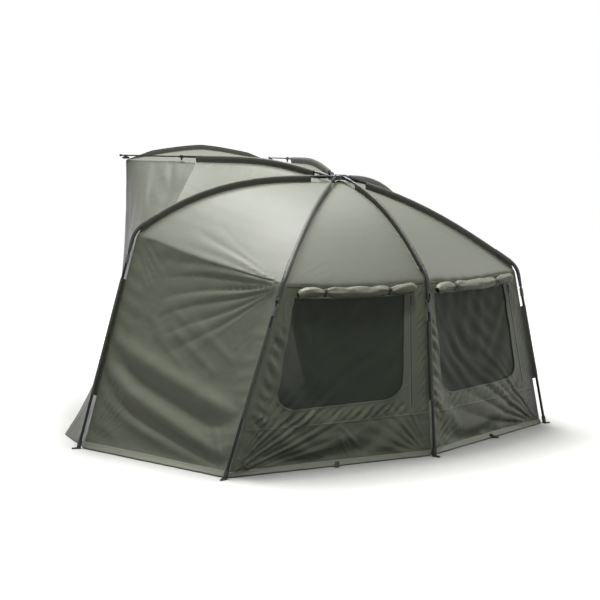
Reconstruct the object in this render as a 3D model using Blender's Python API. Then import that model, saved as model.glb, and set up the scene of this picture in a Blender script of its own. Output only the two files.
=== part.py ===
"""Spider-frame bivvy tent: a hub with seven hinged ribs, five folding legs, two
telescopic peak rods, and the canopy that hangs from them. Metres, +Z up, the
door and peak face -Y. The hub's axis is the design axis while the pieces are
made; at the end the whole tent is moved so that the middle of its footprint
is the origin.
"""

import math

import bmesh
import bpy
from mathutils import Vector

# Frame: where each rib points, how far out and how high its shoulder lies
PIVOT_HEIGHT = 1.495
PIVOT_REACH = 0.045
SIDE_BEARING = math.radians(-25.3)
SIDE_REACH = 1.17
SIDE_SHOULDER = 1.20
SIDE_FOOT_X = 1.408
SIDE_FOOT_Y = -0.548
CORNER_BEARING = math.radians(35.8)
CORNER_REACH = 1.046
CORNER_SHOULDER = 0.975
CORNER_FOOT_X = 1.174
CORNER_FOOT_Y = 0.554
REAR_BEARING = math.radians(90.0)
REAR_REACH = 0.753
REAR_SHOULDER = 0.962
REAR_FOOT_Y = 0.817
PEAK_BEARING = math.radians(-68.3)
PEAK_BEND_REACH = 0.72
PEAK_BEND_HEIGHT = 1.618
PEAK_TIP_REACH = 1.60
PEAK_TIP_HEIGHT = 1.650
SIDE_SLOPES = (math.radians(2.0), math.radians(-33.0))
CORNER_SLOPES = (math.radians(-17.0), math.radians(-35.0))
REAR_SLOPES = (math.radians(-18.0), math.radians(-50.0))
PEAK_SLOPES = (math.radians(17.0), math.radians(2.1))
HANDLE_SHARE = 0.38

# Poles
RIB_RADIUS = 0.007
LEG_RADIUS = 0.008
ROD_RADIUS = 0.0045
SLIDE_CLEARANCE = 0.0004
FIT_GAP = 0.0003

# Hub
HUB_RADIUS = 0.056
HUB_BELOW = 0.016
HUB_ABOVE = 0.013
HUB_CHAMFER = 0.006
HUB_CAP_RADIUS = 0.021
HUB_CAP_HEIGHT = 0.009
HUB_CAP_LOBES = 7
HUB_CAP_LOBE_SHARE = 0.12
HUB_CAP_TOP_SHARE = 0.55
SLOT_ROOT = 0.0310
SLOT_CLEARANCE = 0.0006
PIN_RADIUS = 0.0025
PIN_BITE = 0.007

# Rib root: the flat tongue that turns on the hub's pin, and its moulded socket
TONGUE_HALF_WIDTH = 0.0045
TONGUE_HALF_HEIGHT = 0.0075
TONGUE_HEEL = 0.0100
TONGUE_LENGTH = 0.0230
SOCKET_RADIUS = 0.0105
SOCKET_LENGTH = 0.055

# Elbow: a bent tube over the rib's end that carries the fork of the leg
ELBOW_ARM = 0.055
ELBOW_OVERLAP = 0.040
ELBOW_STOP = 0.0020
ELBOW_WALL = 0.0030
ELBOW_DROP = 0.115
FORK_HALF_WIDTH = 0.0110
FORK_HALF_HEIGHT = 0.0095
FORK_ABOVE = 0.030
FORK_BELOW = 0.010
FORK_SLOT_ABOVE = 0.022
LEG_TONGUE_HALF_WIDTH = 0.0042
LEG_TONGUE_HALF_HEIGHT = 0.0060
LEG_TONGUE_HEEL = 0.0075
LEG_TONGUE_LENGTH = 0.026
COLLAR_RADIUS = 0.0105
COLLAR_LENGTH = 0.048
RIVET_HEAD_RADIUS = 0.0050
RIVET_HEAD_HEIGHT = 0.0015

# Foot
FOOT_WALL = 0.0034
FOOT_SOCKET = 0.045
FOOT_LIFT = 0.0115
FOOT_PLATE = 0.0055
FOOT_HALF_WIDTH = 0.0150
PEG_EYE_REACH = 0.026
PEG_EYE_HALF_WIDTH = 0.0105
PEG_EYE_RADIUS = 0.0045

# Peak rods and their corner brackets
PEAK_TUBE_END_REACH = 1.135
ROD_OVERLAP = 0.045
ROD_START_REACH = PEAK_TUBE_END_REACH - ROD_OVERLAP
COLLAR_SETBACK = 0.020
COLLAR_REACH = PEAK_TUBE_END_REACH - COLLAR_SETBACK
PEAK_COLLAR_LENGTH = 0.014
PEAK_COLLAR_WALL = 0.0032
BORE_START_REACH = 0.725
HOOK_HALF_WIDTH = 0.0060
HOOK_HALF_DEPTH = 0.0035
TIP_BALL_RADIUS = 0.0085
BRACKET_SETBACK = 0.042
BRACKET_HALF_LENGTH = 0.030
BRACKET_HALF_WIDTH = 0.014
BRACKET_HALF_HEIGHT = 0.0075
BRACKET_DROP = 0.0145
NECK_HALF_WIDTH = 0.0062
NECK_HALF_LENGTH = 0.0090
BALL_CLOSE_SHARE = 0.93
BRACKET_PROFILE_SHARES = ((0.0, 0.55), (0.15, 0.85), (0.45, 1.0), (0.80, 0.85), (1.0, 0.55))

# Cloth
CLOTH = 0.0016
NET = 0.0010
SEAM_HELD_SHARE = 0.3
SEAM_INSET = 0.0007
RIDGE_DROP = 0.026
CROWN_REACH = 0.012
SLEEVE_GAP = 0.0006
SLEEVE_WALL = 0.0011
SLEEVE_BITE = 0.0055
SLEEVE_TAIL_SHIFT = 0.0040
SLEEVE_TAIL_POWER = 1.2
SLEEVE_START = 0.16
PEAK_SLEEVE_SETBACK = 0.135
PEAK_SLEEVE_END = PEAK_TUBE_END_REACH - PEAK_SLEEVE_SETBACK
ROOF_COLUMNS = 6
ROOF_ROW_SHARES = (0.0, 0.05, 0.13, 0.24, 0.35, 0.46, 0.58, 0.70, 0.82, 0.94, 1.0)
LAST_ROW_SHARE = 0.06
ROOF_SAG = 0.018
PEAK_RISE = 0.080
PEAK_CROWN_POWER = 1.4
CORNER_INSET = 0.014
HEM_INSET = 0.030
HEM_HEIGHT = 0.004
WALL_BOW = 0.006
WALL_COLUMNS = 10
WALL_ROWS = 8
FOLD_DEPTH = 0.011
FOLD_COUNT = 2.5
FOLD_LEAN_SHARE = 0.9
NORMAL_STEP_SHARE = 0.02
LEG_SLEEVE_FOOT = 0.30
SIDE_LEG_SLEEVE_DROP = 0.270
REAR_LEG_SLEEVE_DROP = 0.240
ROOF_FRONT_REACH = 0.966

# Porch: the infill walls from the peak's corners to the front pegs, and the door
PORCH_PEG_X = 1.290
PORCH_PEG_Y = -0.950
PORCH_FLARE = 0.098
PORCH_DROP = 0.0070
PORCH_COLUMNS = 8
PORCH_ROW_SHARES = (0.0, 0.13, 0.21, 0.29, 1.0)
PORCH_LOWER_ROWS = 5
DOOR_TOP_HALF = 0.430
DOOR_FOOT_HALF = 0.520
DOOR_ROLL_RADIUS = 0.034
DOOR_ROLL_SETBACK = 0.050
DOOR_ROLL_TIE_SHARE = 0.80
VISOR_DEPTH = 0.030
VISOR_THICKNESS = 0.0030
VISOR_TAPER = 6.0
VISOR_START_SHARE = 0.01
VISOR_STEPS = 16

# Windows: places across (s) and down (v) a rear wall, and the rolled covers
WINDOW_LEFT_SHARE = 0.100
WINDOW_RIGHT_SHARE = 0.850
WINDOW_TOP_SHARE = 0.062
WINDOW_FOOT_SHARE = 0.672
WINDOW_SLANT_SHARE = 0.035
WINDOW_ROUND_SHARE = 0.110
ZIP_SHARE = 0.893
ZIP_TOP_SHARE = 0.085
ZIP_FOOT_SHARE = 0.690
NET_MARGIN = 0.016
NET_STAND = 0.0008
COVER_RADIUS = 0.027
COVER_V_SHARE = 0.026
COVER_START_SHARE = 0.075
COVER_END_SHARE = 0.905
COVER_TIE_SHARES = (0.255, 0.715)
COVER_TIE_RADIUS_SHARE = 0.72
SLIDER_HALF_WIDTH = 0.0050
SLIDER_HALF_LENGTH = 0.0110
SLIDER_HALF_HEIGHT = 0.0035
PULL_HALF_WIDTH = 0.0040
PULL_LENGTH = 0.030
PULL_HALF_HEIGHT = 0.0012

OVERRUN = 0.010
ROUND_SIDES = 10
HEADING_STEP_SHARE = 0.005
UP = Vector((0.0, 0.0, 1.0))
RING_ORDER = ("peak_left", "side_left", "corner_left", "rear", "corner_right", "side_right", "peak_right")


def clear_scene():
    for item in list(bpy.data.objects):
        bpy.data.objects.remove(item, do_unlink=True)


def make_material(name, colour, roughness, metallic=0.0):
    """A Principled material; colour is the sRGB hex value of the real piece."""
    material = bpy.data.materials.new(name)
    material.use_nodes = True
    channels = [int(colour[place:place + 2], 16) / 255 for place in (0, 2, 4)]
    linear = [((c + 0.055) / 1.055) ** 2.4 if c > 0.04045 else c / 12.92 for c in channels]
    shader = material.node_tree.nodes["Principled BSDF"]
    shader.inputs["Base Color"].default_value = (*linear, 1.0)
    shader.inputs["Roughness"].default_value = roughness
    shader.inputs["Metallic"].default_value = metallic
    return material


def make_object(name, mesh_data, material, smooth=True):
    mesh = bpy.data.meshes.new(name)
    bmesh.ops.recalc_face_normals(mesh_data, faces=mesh_data.faces)
    mesh_data.to_mesh(mesh)
    mesh_data.free()
    if smooth:
        mesh.shade_smooth()
        mesh.set_sharp_from_angle(angle=math.radians(40.0))
    made = bpy.data.objects.new(name, mesh)
    bpy.context.scene.collection.objects.link(made)
    if material:
        mesh.materials.append(material)
    return made


def as_cutter(made):
    made.hide_render = True
    made.display_type = "WIRE"
    return made


def combine(made, other, operation):
    """Joins or cuts with a Boolean that stays live on the piece."""
    as_cutter(other)
    step = made.modifiers.new(operation.title(), "BOOLEAN")
    step.operation = operation
    step.solver = "EXACT"
    step.object = other


class Route:
    """A line through points, read by the length along it and straight beyond its ends."""

    def __init__(self, points):
        self.points = [Vector(p) for p in points]
        self.marks = [0.0]
        for first, second in zip(self.points, self.points[1:]):
            self.marks.append(self.marks[-1] + (second - first).length)
        self.length = self.marks[-1]

    def at(self, length):
        index = 0
        while index < len(self.marks) - 2 and length > self.marks[index + 1]:
            index += 1
        first, second = self.points[index], self.points[index + 1]
        share = (length - self.marks[index]) / (self.marks[index + 1] - self.marks[index])
        return first.lerp(second, share)

    def heading(self, length):
        step = self.length * HEADING_STEP_SHARE
        return (self.at(length + step) - self.at(length - step)).normalized()

    def stops(self, start, end):
        """The lengths of the route's own points that lie between two lengths."""
        return [mark for mark in self.marks if start + FIT_GAP < mark < end - FIT_GAP]

    def length_at_reach(self, reach):
        """The length at which the route is this far from the hub's axis."""
        low, high = 0.0, self.length
        for _ in range(40):
            middle = (low + high) / 2
            if self.at(middle).xy.length < reach:
                low = middle
            else:
                high = middle
        return (low + high) / 2


def bezier(start, start_heading, end, end_heading, steps=10):
    handle = (end - start).length * HANDLE_SHARE
    first, second = start + start_heading * handle, end - end_heading * handle
    points = []
    for step in range(steps + 1):
        u = step / steps
        w = 1 - u
        points.append(start * w ** 3 + first * 3 * w * w * u + second * 3 * w * u * u + end * u ** 3)
    return points


def round_outline(radius):
    turns = [math.tau * step / ROUND_SIDES for step in range(ROUND_SIDES)]
    return [(radius * math.cos(a), radius * math.sin(a)) for a in turns]


def block_outline(half_width, half_height):
    """A rectangle with cut corners, on as many points as a round outline."""
    outline = []
    for x, y in round_outline(1.0):
        grow = 1 / max(abs(x), abs(y))
        outline.append((half_width * x * grow, half_height * y * grow))
    return outline


def tail_outline(radius, tail, shift):
    """A round sleeve whose lower half is drawn down to a seam, tail below the pole."""
    outline = []
    for x, y in round_outline(radius):
        if y < 0:
            pull = -y / radius
            narrow = (1 - pull ** 2) ** SLEEVE_TAIL_POWER
            x, y = x * narrow + shift * pull ** 2, -tail * pull
        outline.append((x, y))
    return outline


def sweep(name, route, side, rings, material, closed=False):
    """Runs outlines along a route. A ring is (length, outline); outline x is along
    side, y is square to side and heading. Rings may turn back to line a bore."""
    data = bmesh.new()
    loops = []
    for length, outline in rings:
        heading = route.heading(length)
        rise = heading.cross(side).normalized()
        across = rise.cross(heading).normalized()
        middle = route.at(length)
        loops.append([data.verts.new(middle + across * x + rise * y) for x, y in outline])
    pairs = list(zip(loops, loops[1:]))
    if closed:
        pairs.append((loops[-1], loops[0]))
    for first, second in pairs:
        count = len(first)
        for place in range(count):
            following = (place + 1) % count
            data.faces.new((first[place], first[following], second[following], second[place]))
    if not closed:
        data.faces.new(loops[0])
        data.faces.new(loops[-1])
    return make_object(name, data, material)


def pin(name, middle, axis, radius, half_length, material):
    """A straight round pin or its hole, square to nothing but its own axis."""
    route = Route([middle - axis * half_length, middle + axis * half_length])
    side = axis.orthogonal().normalized()
    rings = [(0.0, round_outline(radius)), (route.length, round_outline(radius))]
    return sweep(name, route, side, rings, material)


def grid_sheet(name, surface, columns, rows, thickness, material):
    """A cloth panel: one layer of the surface, given its thickness by Solidify."""
    data = bmesh.new()
    lines = [[data.verts.new(surface(s, v)) for s in columns] for v in rows]
    for upper, lower in zip(lines, lines[1:]):
        for place in range(len(columns) - 1):
            data.faces.new((upper[place], upper[place + 1], lower[place + 1], lower[place]))
    made = make_object(name, data, material)
    shell = made.modifiers.new("Cloth", "SOLIDIFY")
    shell.thickness = thickness
    shell.offset = 0.0
    shell.use_even_offset = True
    return made


def even_shares(count, start=0.0, end=1.0):
    return [start + (end - start) * step / count for step in range(count + 1)]


def polar(bearing, reach, height):
    return Vector((math.cos(bearing) * reach, math.sin(bearing) * reach, height))


def sloped(bearing, slope):
    return polar(bearing, math.cos(slope), math.sin(slope))


class Rib:
    """One arm of the frame: its pivot, its route out to the shoulder, and its leg."""

    def __init__(self, name, bearing, slopes, reach, shoulder, foot=None, tip=None):
        self.name, self.bearing = name, bearing
        self.side = Vector((-math.sin(bearing), math.cos(bearing), 0.0))
        self.pivot = polar(bearing, PIVOT_REACH, PIVOT_HEIGHT)
        self.shoulder = polar(bearing, reach, shoulder)
        start, end = sloped(bearing, slopes[0]), sloped(bearing, slopes[1])
        self.end_heading = end
        self.foot = foot
        if tip:
            points = bezier(self.pivot, start, self.shoulder, (tip - self.shoulder).normalized())
            self.route = Route(points + [tip])
        else:
            straight = self.shoulder - end * (ELBOW_ARM + ELBOW_OVERLAP + OVERRUN)
            self.route = Route(bezier(self.pivot, start, straight, end) + [self.shoulder])
        crown = polar(bearing, CROWN_REACH, PIVOT_HEIGHT)
        self.ridge = Route([crown - UP * RIDGE_DROP] + [p - UP * RIDGE_DROP for p in self.route.points])
        if foot:
            self.leg_heading = (foot - self.shoulder).normalized()
            self.knee = self.shoulder + self.leg_heading * ELBOW_DROP
            self.fold_axis = self.leg_heading.cross(end).normalized()
            self.leg = Route([self.knee, foot])
            outward = Vector((self.shoulder.x, self.shoulder.y, 0.0)).normalized()
            self.corner = self.shoulder - outward * CORNER_INSET - UP * RIDGE_DROP
            hem_outward = Vector((foot.x, foot.y, 0.0)).normalized()
            self.hem = foot - hem_outward * HEM_INSET + UP * HEM_HEIGHT
            self.seam = Route([self.corner, self.hem])


def mirrored(bearing):
    return math.pi - bearing


def make_ribs():
    ribs = {}
    for hand, turn, sign in (("left", lambda b: b, 1), ("right", mirrored, -1)):
        tip = polar(turn(PEAK_BEARING), PEAK_TIP_REACH, PEAK_TIP_HEIGHT)
        ribs["peak_" + hand] = Rib("peak_" + hand, turn(PEAK_BEARING), PEAK_SLOPES,
                                   PEAK_BEND_REACH, PEAK_BEND_HEIGHT, tip=tip)
        foot = Vector((sign * SIDE_FOOT_X, SIDE_FOOT_Y, 0.0))
        ribs["side_" + hand] = Rib("side_" + hand, turn(SIDE_BEARING), SIDE_SLOPES,
                                   SIDE_REACH, SIDE_SHOULDER, foot=foot)
        foot = Vector((sign * CORNER_FOOT_X, CORNER_FOOT_Y, 0.0))
        ribs["corner_" + hand] = Rib("corner_" + hand, turn(CORNER_BEARING), CORNER_SLOPES,
                                     CORNER_REACH, CORNER_SHOULDER, foot=foot)
    foot = Vector((0.0, REAR_FOOT_Y, 0.0))
    ribs["rear"] = Rib("rear", REAR_BEARING, REAR_SLOPES, REAR_REACH, REAR_SHOULDER, foot=foot)
    return ribs


def make_hub(ribs, plastic, steel):
    """The moulded spider hub: a disc with a slot for each rib's tongue, a steel pin
    across every slot, and a lobed metal cap screwed down on top."""
    base = Vector((0.0, 0.0, PIVOT_HEIGHT - HUB_BELOW))
    axis = Route([base, base + UP * (HUB_BELOW + HUB_ABOVE)])
    height = axis.length
    rings = [(0.0, round_outline(HUB_RADIUS - HUB_CHAMFER / 2)),
             (HUB_CHAMFER / 2, round_outline(HUB_RADIUS)),
             (height - HUB_CHAMFER, round_outline(HUB_RADIUS)),
             (height - HUB_CHAMFER / 4, round_outline(HUB_RADIUS - HUB_CHAMFER)),
             (height, round_outline(HUB_RADIUS - HUB_CHAMFER * 2))]
    fine = [(length, refine(outline)) for length, outline in rings]
    hub = sweep("hub", axis, Vector((1.0, 0.0, 0.0)), fine, plastic)
    slot_half = TONGUE_HALF_WIDTH + SLOT_CLEARANCE
    slots, holes = bmesh.new(), bmesh.new()
    for rib in ribs.values():
        outward = polar(rib.bearing, 1.0, 0.0)
        slot_route = Route([outward * SLOT_ROOT + UP * PIVOT_HEIGHT,
                            outward * (HUB_RADIUS + OVERRUN) + UP * PIVOT_HEIGHT])
        box = block_outline(slot_half, HUB_BELOW + HUB_ABOVE)
        slot = sweep("slot", slot_route, rib.side, [(0.0, box), (slot_route.length, box)], None)
        slots.from_mesh(slot.data)
        bpy.data.objects.remove(slot, do_unlink=True)
        hole = pin("hole", rib.pivot, rib.side, PIN_RADIUS + FIT_GAP,
                   slot_half + PIN_BITE + FIT_GAP, None)
        holes.from_mesh(hole.data)
        bpy.data.objects.remove(hole, do_unlink=True)
        pin("hub_pin_" + rib.name, rib.pivot, rib.side, PIN_RADIUS, slot_half + PIN_BITE, steel)
    combine(hub, make_object("hub_slots", slots, None), "DIFFERENCE")
    combine(hub, make_object("hub_pin_holes", holes, None), "DIFFERENCE")
    seat = base + UP * (height + FIT_GAP)
    cap_axis = Route([seat, seat + UP * HUB_CAP_HEIGHT])
    shoulder = HUB_CAP_HEIGHT / 2
    rings = [(0.0, lobed_outline(HUB_CAP_RADIUS)), (shoulder, lobed_outline(HUB_CAP_RADIUS)),
             (HUB_CAP_HEIGHT, lobed_outline(HUB_CAP_RADIUS * HUB_CAP_TOP_SHARE))]
    sweep("hub_cap", cap_axis, Vector((1.0, 0.0, 0.0)), rings, steel)


def refine(outline):
    """Puts a point midway between each two of a round outline, at its radius."""
    radius = math.hypot(*outline[0])
    count = 2 * len(outline)
    turns = [math.tau * step / count for step in range(count)]
    return [(radius * math.cos(a), radius * math.sin(a)) for a in turns]


def lobed_outline(radius):
    count = 4 * HUB_CAP_LOBES
    outline = []
    for step in range(count):
        a = math.tau * step / count
        reach = radius * (1 + HUB_CAP_LOBE_SHARE * math.cos(HUB_CAP_LOBES * a))
        outline.append((reach * math.cos(a), reach * math.sin(a)))
    return outline


def make_rib_pole(rib, metal):
    """A curved tube with a flat tongue at the hub, drilled for the pin."""
    tongue = block_outline(TONGUE_HALF_WIDTH, TONGUE_HALF_HEIGHT)
    socket, tube = round_outline(SOCKET_RADIUS), round_outline(RIB_RADIUS)
    socket_end = TONGUE_LENGTH + SOCKET_LENGTH
    step = SOCKET_RADIUS - RIB_RADIUS
    rings = [(-TONGUE_HEEL, tongue), (TONGUE_LENGTH, tongue), (TONGUE_LENGTH + FIT_GAP, socket),
             (socket_end, socket), (socket_end + step, tube)]
    if rib.foot:
        end = rib.route.length - ELBOW_ARM - ELBOW_STOP
        rings += [(length, tube) for length in rib.route.stops(socket_end + step, end)]
        rings.append((end, tube))
        pole = sweep("rib_" + rib.name, rib.route, rib.side, rings, metal)
    else:
        end = rib.route.length_at_reach(PEAK_TUBE_END_REACH)
        bore = round_outline(ROD_RADIUS + SLIDE_CLEARANCE)
        bore_start = rib.route.length_at_reach(BORE_START_REACH)
        rings += [(length, tube) for length in rib.route.stops(socket_end + step, bore_start)]
        rings += [(end, tube), (end, bore), (bore_start, bore)]
        pole = sweep("rib_" + rib.name, rib.route, rib.side, rings, metal)
        combine(pole, peak_hook(rib), "UNION")
    hole = pin("hole_" + rib.name, rib.pivot, rib.side, PIN_RADIUS + FIT_GAP,
               TONGUE_HALF_WIDTH + OVERRUN, None)
    combine(pole, hole, "DIFFERENCE")


def peak_hook(rib):
    """The locking collar at the mouth of a peak tube, with the hook that carries the cloth."""
    middle = rib.route.length_at_reach(COLLAR_REACH)
    outer = round_outline(RIB_RADIUS + PEAK_COLLAR_WALL)
    inner = round_outline((RIB_RADIUS + ROD_RADIUS + SLIDE_CLEARANCE) / 2)
    start, end = middle - PEAK_COLLAR_LENGTH / 2, middle + PEAK_COLLAR_LENGTH / 2
    rings = [(start, outer), (end, outer), (end, inner), (start, inner)]
    collar = sweep("collar_" + rib.name, rib.route, rib.side, rings, None, closed=True)
    top = rib.route.at(middle) - UP * (RIB_RADIUS + PEAK_COLLAR_WALL / 2)
    slope = 2 * PEAK_RISE / (PEAK_TIP_REACH * math.cos(PEAK_BEARING))
    hang = RIDGE_DROP - CLOTH / 2 - FIT_GAP - slope * HOOK_HALF_WIDTH
    drop = Route([top, rib.route.at(middle) - UP * hang])
    box = block_outline(HOOK_HALF_DEPTH, HOOK_HALF_WIDTH)
    hook = sweep("hook_" + rib.name, drop, rib.side, [(0.0, box), (drop.length, box)], None)
    combine(collar, hook, "UNION")
    return collar


def make_peak_rod(rib, metal):
    """The thin inner rod of a peak arm, its ball tip and the bracket for the cloth's corner."""
    start = rib.route.length_at_reach(ROD_START_REACH)
    end = rib.route.length
    rings = [(start, round_outline(ROD_RADIUS))]
    for turn in even_shares(6, math.asin(ROD_RADIUS / TIP_BALL_RADIUS), math.pi * BALL_CLOSE_SHARE):
        rings.append((end - TIP_BALL_RADIUS * math.cos(turn),
                      round_outline(TIP_BALL_RADIUS * math.sin(turn))))
    made = sweep("peak_rod_" + rib.name[5:], rib.route, rib.side, rings, metal)
    foot = rib.route.at(end - BRACKET_SETBACK) - UP * (BRACKET_DROP + BRACKET_HALF_HEIGHT)
    stem = Route([foot, foot + UP * (BRACKET_DROP + BRACKET_HALF_HEIGHT + ROD_RADIUS / 3)])
    belly = 2 * BRACKET_HALF_HEIGHT
    rings = []
    for height_share, share in BRACKET_PROFILE_SHARES:
        outline = oval_outline(BRACKET_HALF_WIDTH * share, BRACKET_HALF_LENGTH * share)
        rings.append((belly * height_share, outline))
    neck = oval_outline(NECK_HALF_WIDTH, NECK_HALF_LENGTH)
    rings += [(belly + NECK_HALF_WIDTH / 2, neck), (stem.length, neck)]
    bracket = sweep("bracket_" + rib.name, stem, rib.side, rings, None)
    combine(made, bracket, "UNION")


def oval_outline(half_width, half_length):
    return [(half_width * x, half_length * y) for x, y in round_outline(1.0)]


def make_elbow(rib, plastic):
    """A bent tube that sleeves the rib's end and ends in a fork with a rivet."""
    bend_start = rib.shoulder - rib.end_heading * ELBOW_ARM
    bend_end = rib.shoulder + rib.leg_heading * ELBOW_ARM
    mouth = bend_start - rib.end_heading * ELBOW_OVERLAP
    fork_end = rib.knee + rib.leg_heading * FORK_BELOW
    points = [mouth, bend_start]
    for share in even_shares(5)[1:]:
        first, second = bend_start.lerp(rib.shoulder, share), rib.shoulder.lerp(bend_end, share)
        points.append(first.lerp(second, share))
    route = Route(points + [fork_end])
    knee_length = route.length - FORK_BELOW
    around = (RIB_RADIUS + FIT_GAP) / math.cos(math.pi / ROUND_SIDES)
    bore, tube = round_outline(around), round_outline(around + ELBOW_WALL)
    fork = block_outline(FORK_HALF_WIDTH, FORK_HALF_HEIGHT)
    bend = [(ELBOW_OVERLAP + (route.marks[-2] - ELBOW_OVERLAP) * share, tube) for share in even_shares(5)]
    rings = [(ELBOW_OVERLAP - ELBOW_STOP + FIT_GAP, bore), (0.0, bore), (0.0, tube)] + bend
    flare = FORK_HALF_WIDTH - RIB_RADIUS
    rings += [(knee_length - FORK_ABOVE - flare, tube), (knee_length - FORK_ABOVE, fork),
              (route.length, fork)]
    side = rib.fold_axis
    elbow = sweep("elbow_" + rib.name, route, side, rings, plastic)
    slot_top = rib.knee - rib.leg_heading * FORK_SLOT_ABOVE
    slot_route = Route([slot_top, fork_end + rib.leg_heading * OVERRUN])
    slot_half = LEG_TONGUE_HALF_WIDTH + SLOT_CLEARANCE
    box = block_outline(slot_half, FORK_HALF_HEIGHT + OVERRUN)
    slot = sweep("fork_slot_" + rib.name, slot_route, side,
                 [(0.0, box), (slot_route.length, box)], None)
    combine(elbow, slot, "DIFFERENCE")
    span = FORK_HALF_WIDTH + RIVET_HEAD_HEIGHT
    shank = Route([rib.knee - side * span, rib.knee + side * span])
    head, stem = round_outline(RIVET_HEAD_RADIUS), round_outline(PIN_RADIUS)
    head_in = RIVET_HEAD_HEIGHT + FORK_HALF_WIDTH - slot_half - SLOT_CLEARANCE
    rings = [(0.0, head), (head_in, head), (head_in, stem),
             (shank.length - head_in, stem), (shank.length - head_in, head), (shank.length, head)]
    rivet = sweep("rivet_" + rib.name, shank, rib.leg_heading, rings, None)
    combine(elbow, rivet, "UNION")


def make_leg(rib, metal):
    """A straight pole: drilled tongue in the elbow's fork, grey collar, tube to the foot."""
    tongue = block_outline(LEG_TONGUE_HALF_WIDTH, LEG_TONGUE_HALF_HEIGHT)
    collar, tube = round_outline(COLLAR_RADIUS), round_outline(LEG_RADIUS)
    collar_end = LEG_TONGUE_LENGTH + COLLAR_LENGTH
    step = COLLAR_RADIUS - LEG_RADIUS
    end = rib.leg.length - FOOT_LIFT
    rings = [(-LEG_TONGUE_HEEL, tongue), (LEG_TONGUE_LENGTH, tongue),
             (LEG_TONGUE_LENGTH + FIT_GAP, collar), (collar_end, collar),
             (collar_end + step, tube), (end, tube)]
    pole = sweep("leg_" + rib.name, rib.leg, rib.fold_axis, rings, metal)
    hole = pin("leg_hole_" + rib.name, rib.knee, rib.fold_axis, PIN_RADIUS + FIT_GAP,
               LEG_TONGUE_HALF_WIDTH + OVERRUN, None)
    combine(pole, hole, "DIFFERENCE")


def make_foot(rib, plastic):
    """A moulded shoe: socket for the leg, flat sole, and an eye for a ground peg."""
    end = rib.leg.length
    bore = round_outline(LEG_RADIUS + FIT_GAP)
    wall = round_outline(LEG_RADIUS + FIT_GAP + FOOT_WALL)
    mouth = end - FOOT_SOCKET
    floor = end - FOOT_LIFT + FIT_GAP
    socket = sweep("socket_" + rib.name, rib.leg, rib.fold_axis,
                   [(mouth, wall), (end - FOOT_PLATE, wall)], None)
    outward = Vector((rib.foot.x, rib.foot.y, 0.0)).normalized()
    square = UP.cross(outward)
    data = bmesh.new()
    lower = []
    for step in range(ROUND_SIDES + 1):
        a = math.pi / 2 + math.pi * step / ROUND_SIDES
        reach = outward * math.cos(a) + square * math.sin(a)
        lower.append(data.verts.new(rib.foot + reach * FOOT_HALF_WIDTH))
    for step in range(ROUND_SIDES // 2 + 1):
        a = -math.pi / 2 + math.pi * step / (ROUND_SIDES // 2)
        reach = outward * math.cos(a) + square * math.sin(a)
        lower.append(data.verts.new(rib.foot + outward * PEG_EYE_REACH + reach * PEG_EYE_HALF_WIDTH))
    sole = data.faces.new(lower)
    raised = bmesh.ops.extrude_face_region(data, geom=[sole])["geom"]
    bmesh.ops.translate(data, verts=[g for g in raised if isinstance(g, bmesh.types.BMVert)],
                        vec=UP * FOOT_PLATE)
    foot = make_object("foot_" + rib.name, data, plastic)
    combine(foot, socket, "UNION")
    eye = pin("peg_eye_" + rib.name, rib.foot + outward * PEG_EYE_REACH, UP, PEG_EYE_RADIUS,
              FOOT_PLATE + OVERRUN, None)
    combine(foot, eye, "DIFFERENCE")
    clear = Route([rib.leg.at(floor), rib.leg.at(mouth) - rib.leg_heading * OVERRUN])
    tool = sweep("bore_" + rib.name, clear, rib.fold_axis,
                 [(0.0, bore), (clear.length, bore)], None)
    combine(foot, tool, "DIFFERENCE")


def across(first, second, share, inset=SEAM_INSET):
    """A point from one edge to the other, held back from both by the seam's inset."""
    width = (second - first).length
    held = min(inset / width, SEAM_HELD_SHARE)
    return first.lerp(second, held + share * (1 - 2 * held))


class Roof:
    """The cloth between two neighbouring ribs, down to the shoulders or the peak's edge."""

    def __init__(self, first, second, first_end, second_end, sag, rise):
        self.first, self.second = first, second
        self.front = bool(first.foot) != bool(second.foot)
        self.ends = (first_end, second_end)
        self.sag, self.rise = sag, rise

    def point(self, s, t):
        near = self.edge(0, t)
        far = self.edge(1, t)
        crown = 1 - abs(2 * s - 1) ** PEAK_CROWN_POWER
        rise = self.rise * crown * t ** 2
        slack = 4 * t * (1 - t) if self.front else t ** 2
        sag = self.sag * slack * 4 * s * (1 - s)
        return across(near, far, s) + UP * (rise - sag)

    def edge(self, which, t):
        rib, end = (self.first, self.second)[which], self.ends[which]
        spot = rib.ridge.at(end * t)
        if rib.foot and end >= rib.ridge.length - FIT_GAP and t > 1 - LAST_ROW_SHARE:
            return rib.corner.lerp(spot, (1 - t) / LAST_ROW_SHARE)
        return spot


def make_sleeve(rib, start, end, shift, name):
    """The pole sleeve sewn on a ridge: round over the pole, drawn down to its seam."""
    inner = round_outline(RIB_RADIUS + SLEEVE_GAP)
    radius = RIB_RADIUS + SLEEVE_GAP + SLEEVE_WALL
    places = [start] + rib.route.stops(start, end) + [end]
    rings = []
    for length in places:
        level = rib.route.heading(length).xy.length
        rings.append((length, tail_outline(radius, RIDGE_DROP * level + SLEEVE_BITE, shift)))
    rings += [(length, inner) for length in reversed(places)]
    return sweep(name, rib.route, rib.side, rings, None, closed=True)


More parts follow.
